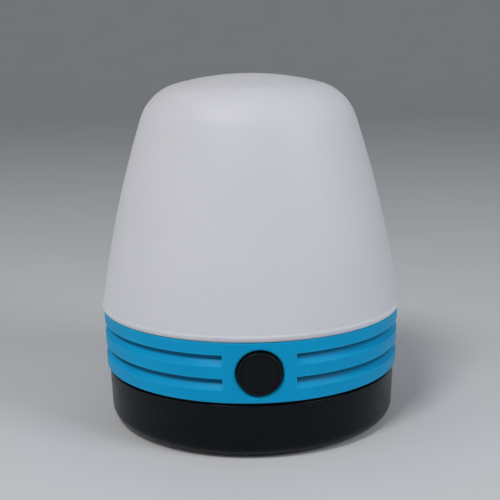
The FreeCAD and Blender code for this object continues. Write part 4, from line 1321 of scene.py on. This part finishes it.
@dataclass
class BatteryDoor:
    """Door in the underside with a scoop for a finger, three grip lines and a hinge barrel.

    The outer face is worked inside worked_half to each side and between worked_ends behind its rear edge.
    Slopes of the scoop's ends and of the grip lines are side_slope and grip_slope wide.
    """

    palette: Palette
    under: Underside
    low: float = measured("battery_door", 0, 2)
    high: float = measured("battery_door", 1, 2)
    rear: float = measured("battery_door", 1, 1)
    pin_reach: float = measured("battery_door", 1, 0)
    hinge: Pair = (-26.65, 1.7)
    barrel: float = 1.1
    barrel_short: float = 1.5
    pin: float = 0.8
    rim: float = 0.3
    rear_corner: float = 1.3
    worked_half: float = 10.0
    worked_ends: Pair = (17.0, 1.0)
    scoop_half: float = 7.0
    scoop_back: float = 4.0
    scoop_axis: float = -3.2
    scoop_radius: float = 5.0
    side_slope: float = 0.25
    grip_half: float = 9.0
    grip_first: float = 11.0
    grip_pitch: float = 2.0
    grip_width: float = 0.8
    grip_depth: float = 0.4
    grip_slope: float = 0.15

    def relief(self, x: Array, y: Array) -> Array:
        """How far the outer face is sunk: a cylinder's dip for the scoop, and slots with sloped sides.

        Args:
            x, y: places in plan.

        Returns:
            The depths.
        """
        across = np.clip(1 - (y - (self.rear - self.scoop_back)) ** 2 / self.scoop_radius**2, 0, None)
        dip = np.clip(self.scoop_axis + self.scoop_radius * np.sqrt(across) - self.low, 0, None)
        sunk = dip * np.clip((self.scoop_half - np.abs(x)) / self.side_slope, 0, 1)
        end = np.clip((self.grip_half - np.abs(x)) / self.side_slope, 0, 1)
        for line in range(3):
            middle = self.rear - self.grip_first - self.grip_width / 2 - line * self.grip_pitch
            side = np.clip((self.grip_width / 2 - np.abs(y - middle)) / self.grip_slope, 0, 1)
            sunk = np.maximum(sunk, self.grip_depth * side * end)
        return sunk

    def worked(self) -> tuple[Surface, Array]:
        """The sunk field of the outer face, with rows and columns close together on its slopes.

        Returns:
            The field, and its outline counter-clockwise.
        """
        wide, slope = self.worked_half, self.side_slope
        slopes = [side * (size - share * slope) for side in (-1, 1)
                  for size in (self.scoop_half, self.grip_half) for share in (0, 0.32, 0.68, 1)]
        x = np.unique(np.round(np.concatenate([np.linspace(-wide, wide, 41), slopes]), 4))
        front, back = (self.rear - end for end in self.worked_ends)
        slots = [self.rear - self.grip_first - line * self.grip_pitch - edge for line in range(3)
                 for edge in (0, 0.07, 0.15, 0.65, 0.73, 0.8)]
        y = np.unique(np.round(np.concatenate([np.linspace(front, back, 65), slots]), 4))
        columns, rows = np.meshgrid(x, y)
        sunk = grid(np.stack([columns, rows, self.low + self.relief(columns, rows)], axis=-1)).flipped()
        sides = [(x, np.full_like(x, front)), (np.full(len(y) - 1, wide), y[1:]),
                 (x[::-1][1:], np.full(len(x) - 1, back)), (np.full(len(y) - 2, -wide), y[::-1][1:-1])]
        return sunk, np.concatenate([np.column_stack(side) for side in sides])

    def surface(self) -> Surface:
        """Worked field inside a plain rim, then the walls, the back, the barrel and the pins.

        Returns:
            All of them as one surface.
        """
        sunk, ring = self.worked()
        wide = self.under.door_half[0]
        outline = box_outline(wide, self.hinge[0], self.rear, (self.under.front_corner, self.rear_corner))
        inner = spread(outline, -self.rim)
        barrel = rod(self.barrel, 2 * (wide - self.barrel_short), (0.2, 0.2), 40)
        pins = rod(self.pin, 2 * self.pin_reach, (0.2, 0.2), 32)
        return joined(
            sunk, filled(inner, [ring], self.low, False),
            strip(outline, edge_rows(self.low, self.high, self.rim)), filled(inner, [], self.high, True),
            barrel.moved((self.barrel_short - wide, *self.hinge), Along.RIGHT),
            pins.moved((-self.pin_reach, *self.hinge), Along.RIGHT))

    def build(self) -> None:
        """Makes the door."""
        item = make_object("battery_door_panel", self.surface(), self.palette.base.material(), 32)
        install(item, Body.DOOR, "battery_door")


@dataclass
class HangingHook:
    """Flat loop with a round bar along its hinge, folded into the underside."""

    palette: Palette
    under: Underside
    low: float = measured("hanging_hook", 0, 2)
    high: float = measured("hanging_hook", 1, 2)
    front: float = measured("hanging_hook", 0, 1)
    pin_bore: float = 1.1

    def surface(self) -> Surface:
        """A slab for the loop, with its front run through the middle of the bar.

        Returns:
            Both, one through the other.
        """
        half, radius = self.under.hook_half, self.under.bar_radius
        axis_y, axis_z = self.front + radius, (self.low + self.high) / 2
        outer = self.under.bow(half, axis_y, self.under.hook_radius, 0.8)
        eye = self.under.bow(self.under.eye_half, self.under.eye_front, self.under.eye_radius, 1.0)
        section = filleted([(self.pin_bore, 0, 0.1), (radius, 0, 0.3), (radius, 2 * half, 0.3),
                            (self.pin_bore, 2 * half, 0.1)], closed=True)
        bar = turned(section, 48, closed=True).moved((-half, axis_y, axis_z), Along.RIGHT)
        return joined(slab(outer, [eye], self.low, self.high, 0.5), bar)

    def build(self) -> None:
        """Makes the hook."""
        item = make_object("hanging_loop", self.surface(), self.palette.hook.material(), 34)
        install(item, Body.HOOK, "hanging_hook")


@dataclass
class Internals:
    """What the housing holds: CAD nodes with their own finishes, and the cells' coil contacts."""

    palette: Palette
    spring: Pair = (3.8, 0.35)
    plate: float = 0.4
    play: float = 0.1

    def plain_nodes(self) -> dict[str, Material]:
        """Finish of every node that keeps its CAD shape, but for the cells.

        Returns:
            Node name to material, shared by the nodes of one finish.
        """
        p = self.palette
        groups = [
            (p.seal, "shade_seal"), (p.white, "reflector_deck switch_plunger"), (p.led, "leds"),
            (p.led_board, "led_board"), (p.board, "switch_board"), (p.tray, "battery_tray"),
            (p.switch, "switch_body driver_chips"),
            (p.screw, "led_board_screws deck_screws housing_screws tray_screws switch_board_screws hook_pin"),
            (p.nickel, "contact_link_left contact_link_right contact_terminal_positive"
                       " contact_terminal_negative"),
            (p.red_wire, "wire_battery_positive wire_led_positive"),
            (p.black_wire, "wire_battery_negative wire_led_negative"),
        ]
        made = [(finish.material(), names) for finish, names in groups]
        return {name: material for material, names in made for name in names.split()}

    def cell(self, name: str) -> tuple[Material, Surface]:
        """Sleeve and coil of a cell, whose raised end stands further from the middle than its flat one.

        Args:
            name: its node.

        Returns:
            The sleeve, and the coil between the cell's flat end and the plate beside it.
        """
        low, high = node_box(name)
        to_right = high[0] > -low[0]
        ends = (high[0], low[0]) if to_right else (low[0], high[0])
        plates = node_box("contact_link_left")[0][0] + self.plate
        room = float((low[0] if to_right else -high[0]) - plates) - self.play
        start = plates + self.play / 2
        way, start = (Along.RIGHT, start) if to_right else (Along.LEFT, -start)
        middle = (low + high) / 2
        sleeve = CellJacket(name + "_sleeve", *map(float, ends)).material()
        return sleeve, coil(*self.spring, room).moved((start, middle[1], middle[2]), way)

    def build(self) -> None:
        """Dresses the nodes and winds the coils."""
        dressed = self.plain_nodes()
        coils = []
        for name in CELLS:
            dressed[name], wound = self.cell(name)
            coils.append(wound)
        for name, material in dressed.items():
            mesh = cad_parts[name].data
            mesh.materials.clear()
            mesh.materials.append(material)
            LOG.info("%s: dressed in %s", name, material.name)
        item = make_object("cell_coils", joined(*coils), self.palette.nickel.material(), 60, False)
        install(item, Body.HOUSING, "contact_springs")


# ------------------------------------------------------------------ studio


@dataclass
class Studio:
    """Pale floor, soft lights and the camera."""

    camera_place: Triple = (-15.7, -321.4, 119.7)
    camera_aim: Triple = (0.0, 0.0, 52.5)
    light_aim: Triple = (0.0, 0.0, 50.0)
    lens: float = 74.0
    roll_deg: float = -0.8
    ambient: float = 0.2

    @staticmethod
    def stand(name: str, data: bpy.types.ID, place: Triple, target: Triple) -> bpy.types.Object:
        """Stands a light or the camera somewhere.

        Args:
            name: its name.
            data: the light or the camera.
            place: where it stands, in millimetres.
            target: what its -Z points at, in millimetres.

        Returns:
            Its object.
        """
        item = bpy.data.objects.new(name, data)
        item.location = [value * MM for value in place]
        bpy.context.scene.collection.objects.link(item)
        heading = Vector(target) * MM - item.location
        item.rotation_euler = heading.to_track_quat("-Z", "Y").to_euler()
        return item

    def lamp(self, name: str, place: Triple, size: float, watts: float, colour: Colour) -> None:
        """Adds a square soft light that points at the lantern.

        Args:
            name: its name.
            place: where it stands, in millimetres.
            size: its side.
            watts: its power.
            colour: its colour.
        """
        data = bpy.data.lights.new(name, "AREA")
        data.size = size * MM
        data.energy = watts
        data.color = colour
        self.stand(name, data, place, self.light_aim)

    def floor(self) -> None:
        """A round floor whose rim sweeps up into a wall, with a very faint mottling."""
        radius, top, sweep = 2400.0, 1500.0, 1100.0
        bowl = filleted([(radius, top), (radius, 0.0, sweep), (0.0, 0.0)], steps=24)
        nodes = NodeBuilder("floor_paper")
        pale = nodes.mix(nodes.spanned(nodes.noise(60, 3)), srgb(226, 227, 229), srgb(230, 231, 233))
        material = nodes.finish(pale, 0.75, nodes.bump(nodes.noise(1.5, 2), 0.01))
        item = make_object("floor", turned(bowl, 128), material, 180)

    def build(self) -> None:
        """Lights the scene and sets the camera."""
        scene = bpy.context.scene
        scene.view_settings.view_transform = "Standard"
        world = bpy.data.worlds.new("studio")
        world.use_nodes = True
        background = world.node_tree.nodes["Background"]
        background.inputs["Color"].default_value = (*srgb(232, 236, 242), 1)
        background.inputs["Strength"].default_value = self.ambient
        scene.world = world
        self.floor()
        self.lamp("key", (-330, -520, 820), 240, 3.5, (1.0, 0.99, 0.97))
        self.lamp("side", (-760, -260, 260), 420, 1.05, (1.0, 1.0, 1.0))
        self.lamp("fill", (640, -480, 520), 400, 2.6, (0.95, 0.97, 1.0))
        data = bpy.data.cameras.new("camera")
        data.lens = self.lens
        scene.camera = self.stand("camera", data, self.camera_place, self.camera_aim)
        scene.camera.rotation_euler.rotate_axis("Z", math.radians(self.roll_deg))


def main() -> None:
    """Builds the lantern from the shade down, then the studio round it."""
    logging.basicConfig(level=logging.INFO, format="%(message)s")
    palette = Palette()
    under = Underside()
    Shade(palette).build()
    Collar(palette).build()
    PowerButton(palette).build()
    Base(palette, under).build()
    BatteryDoor(palette, under).build()
    HangingHook(palette, under).build()
    Internals(palette).build()
    Studio().build()


if __name__ == "__main__":
    main()
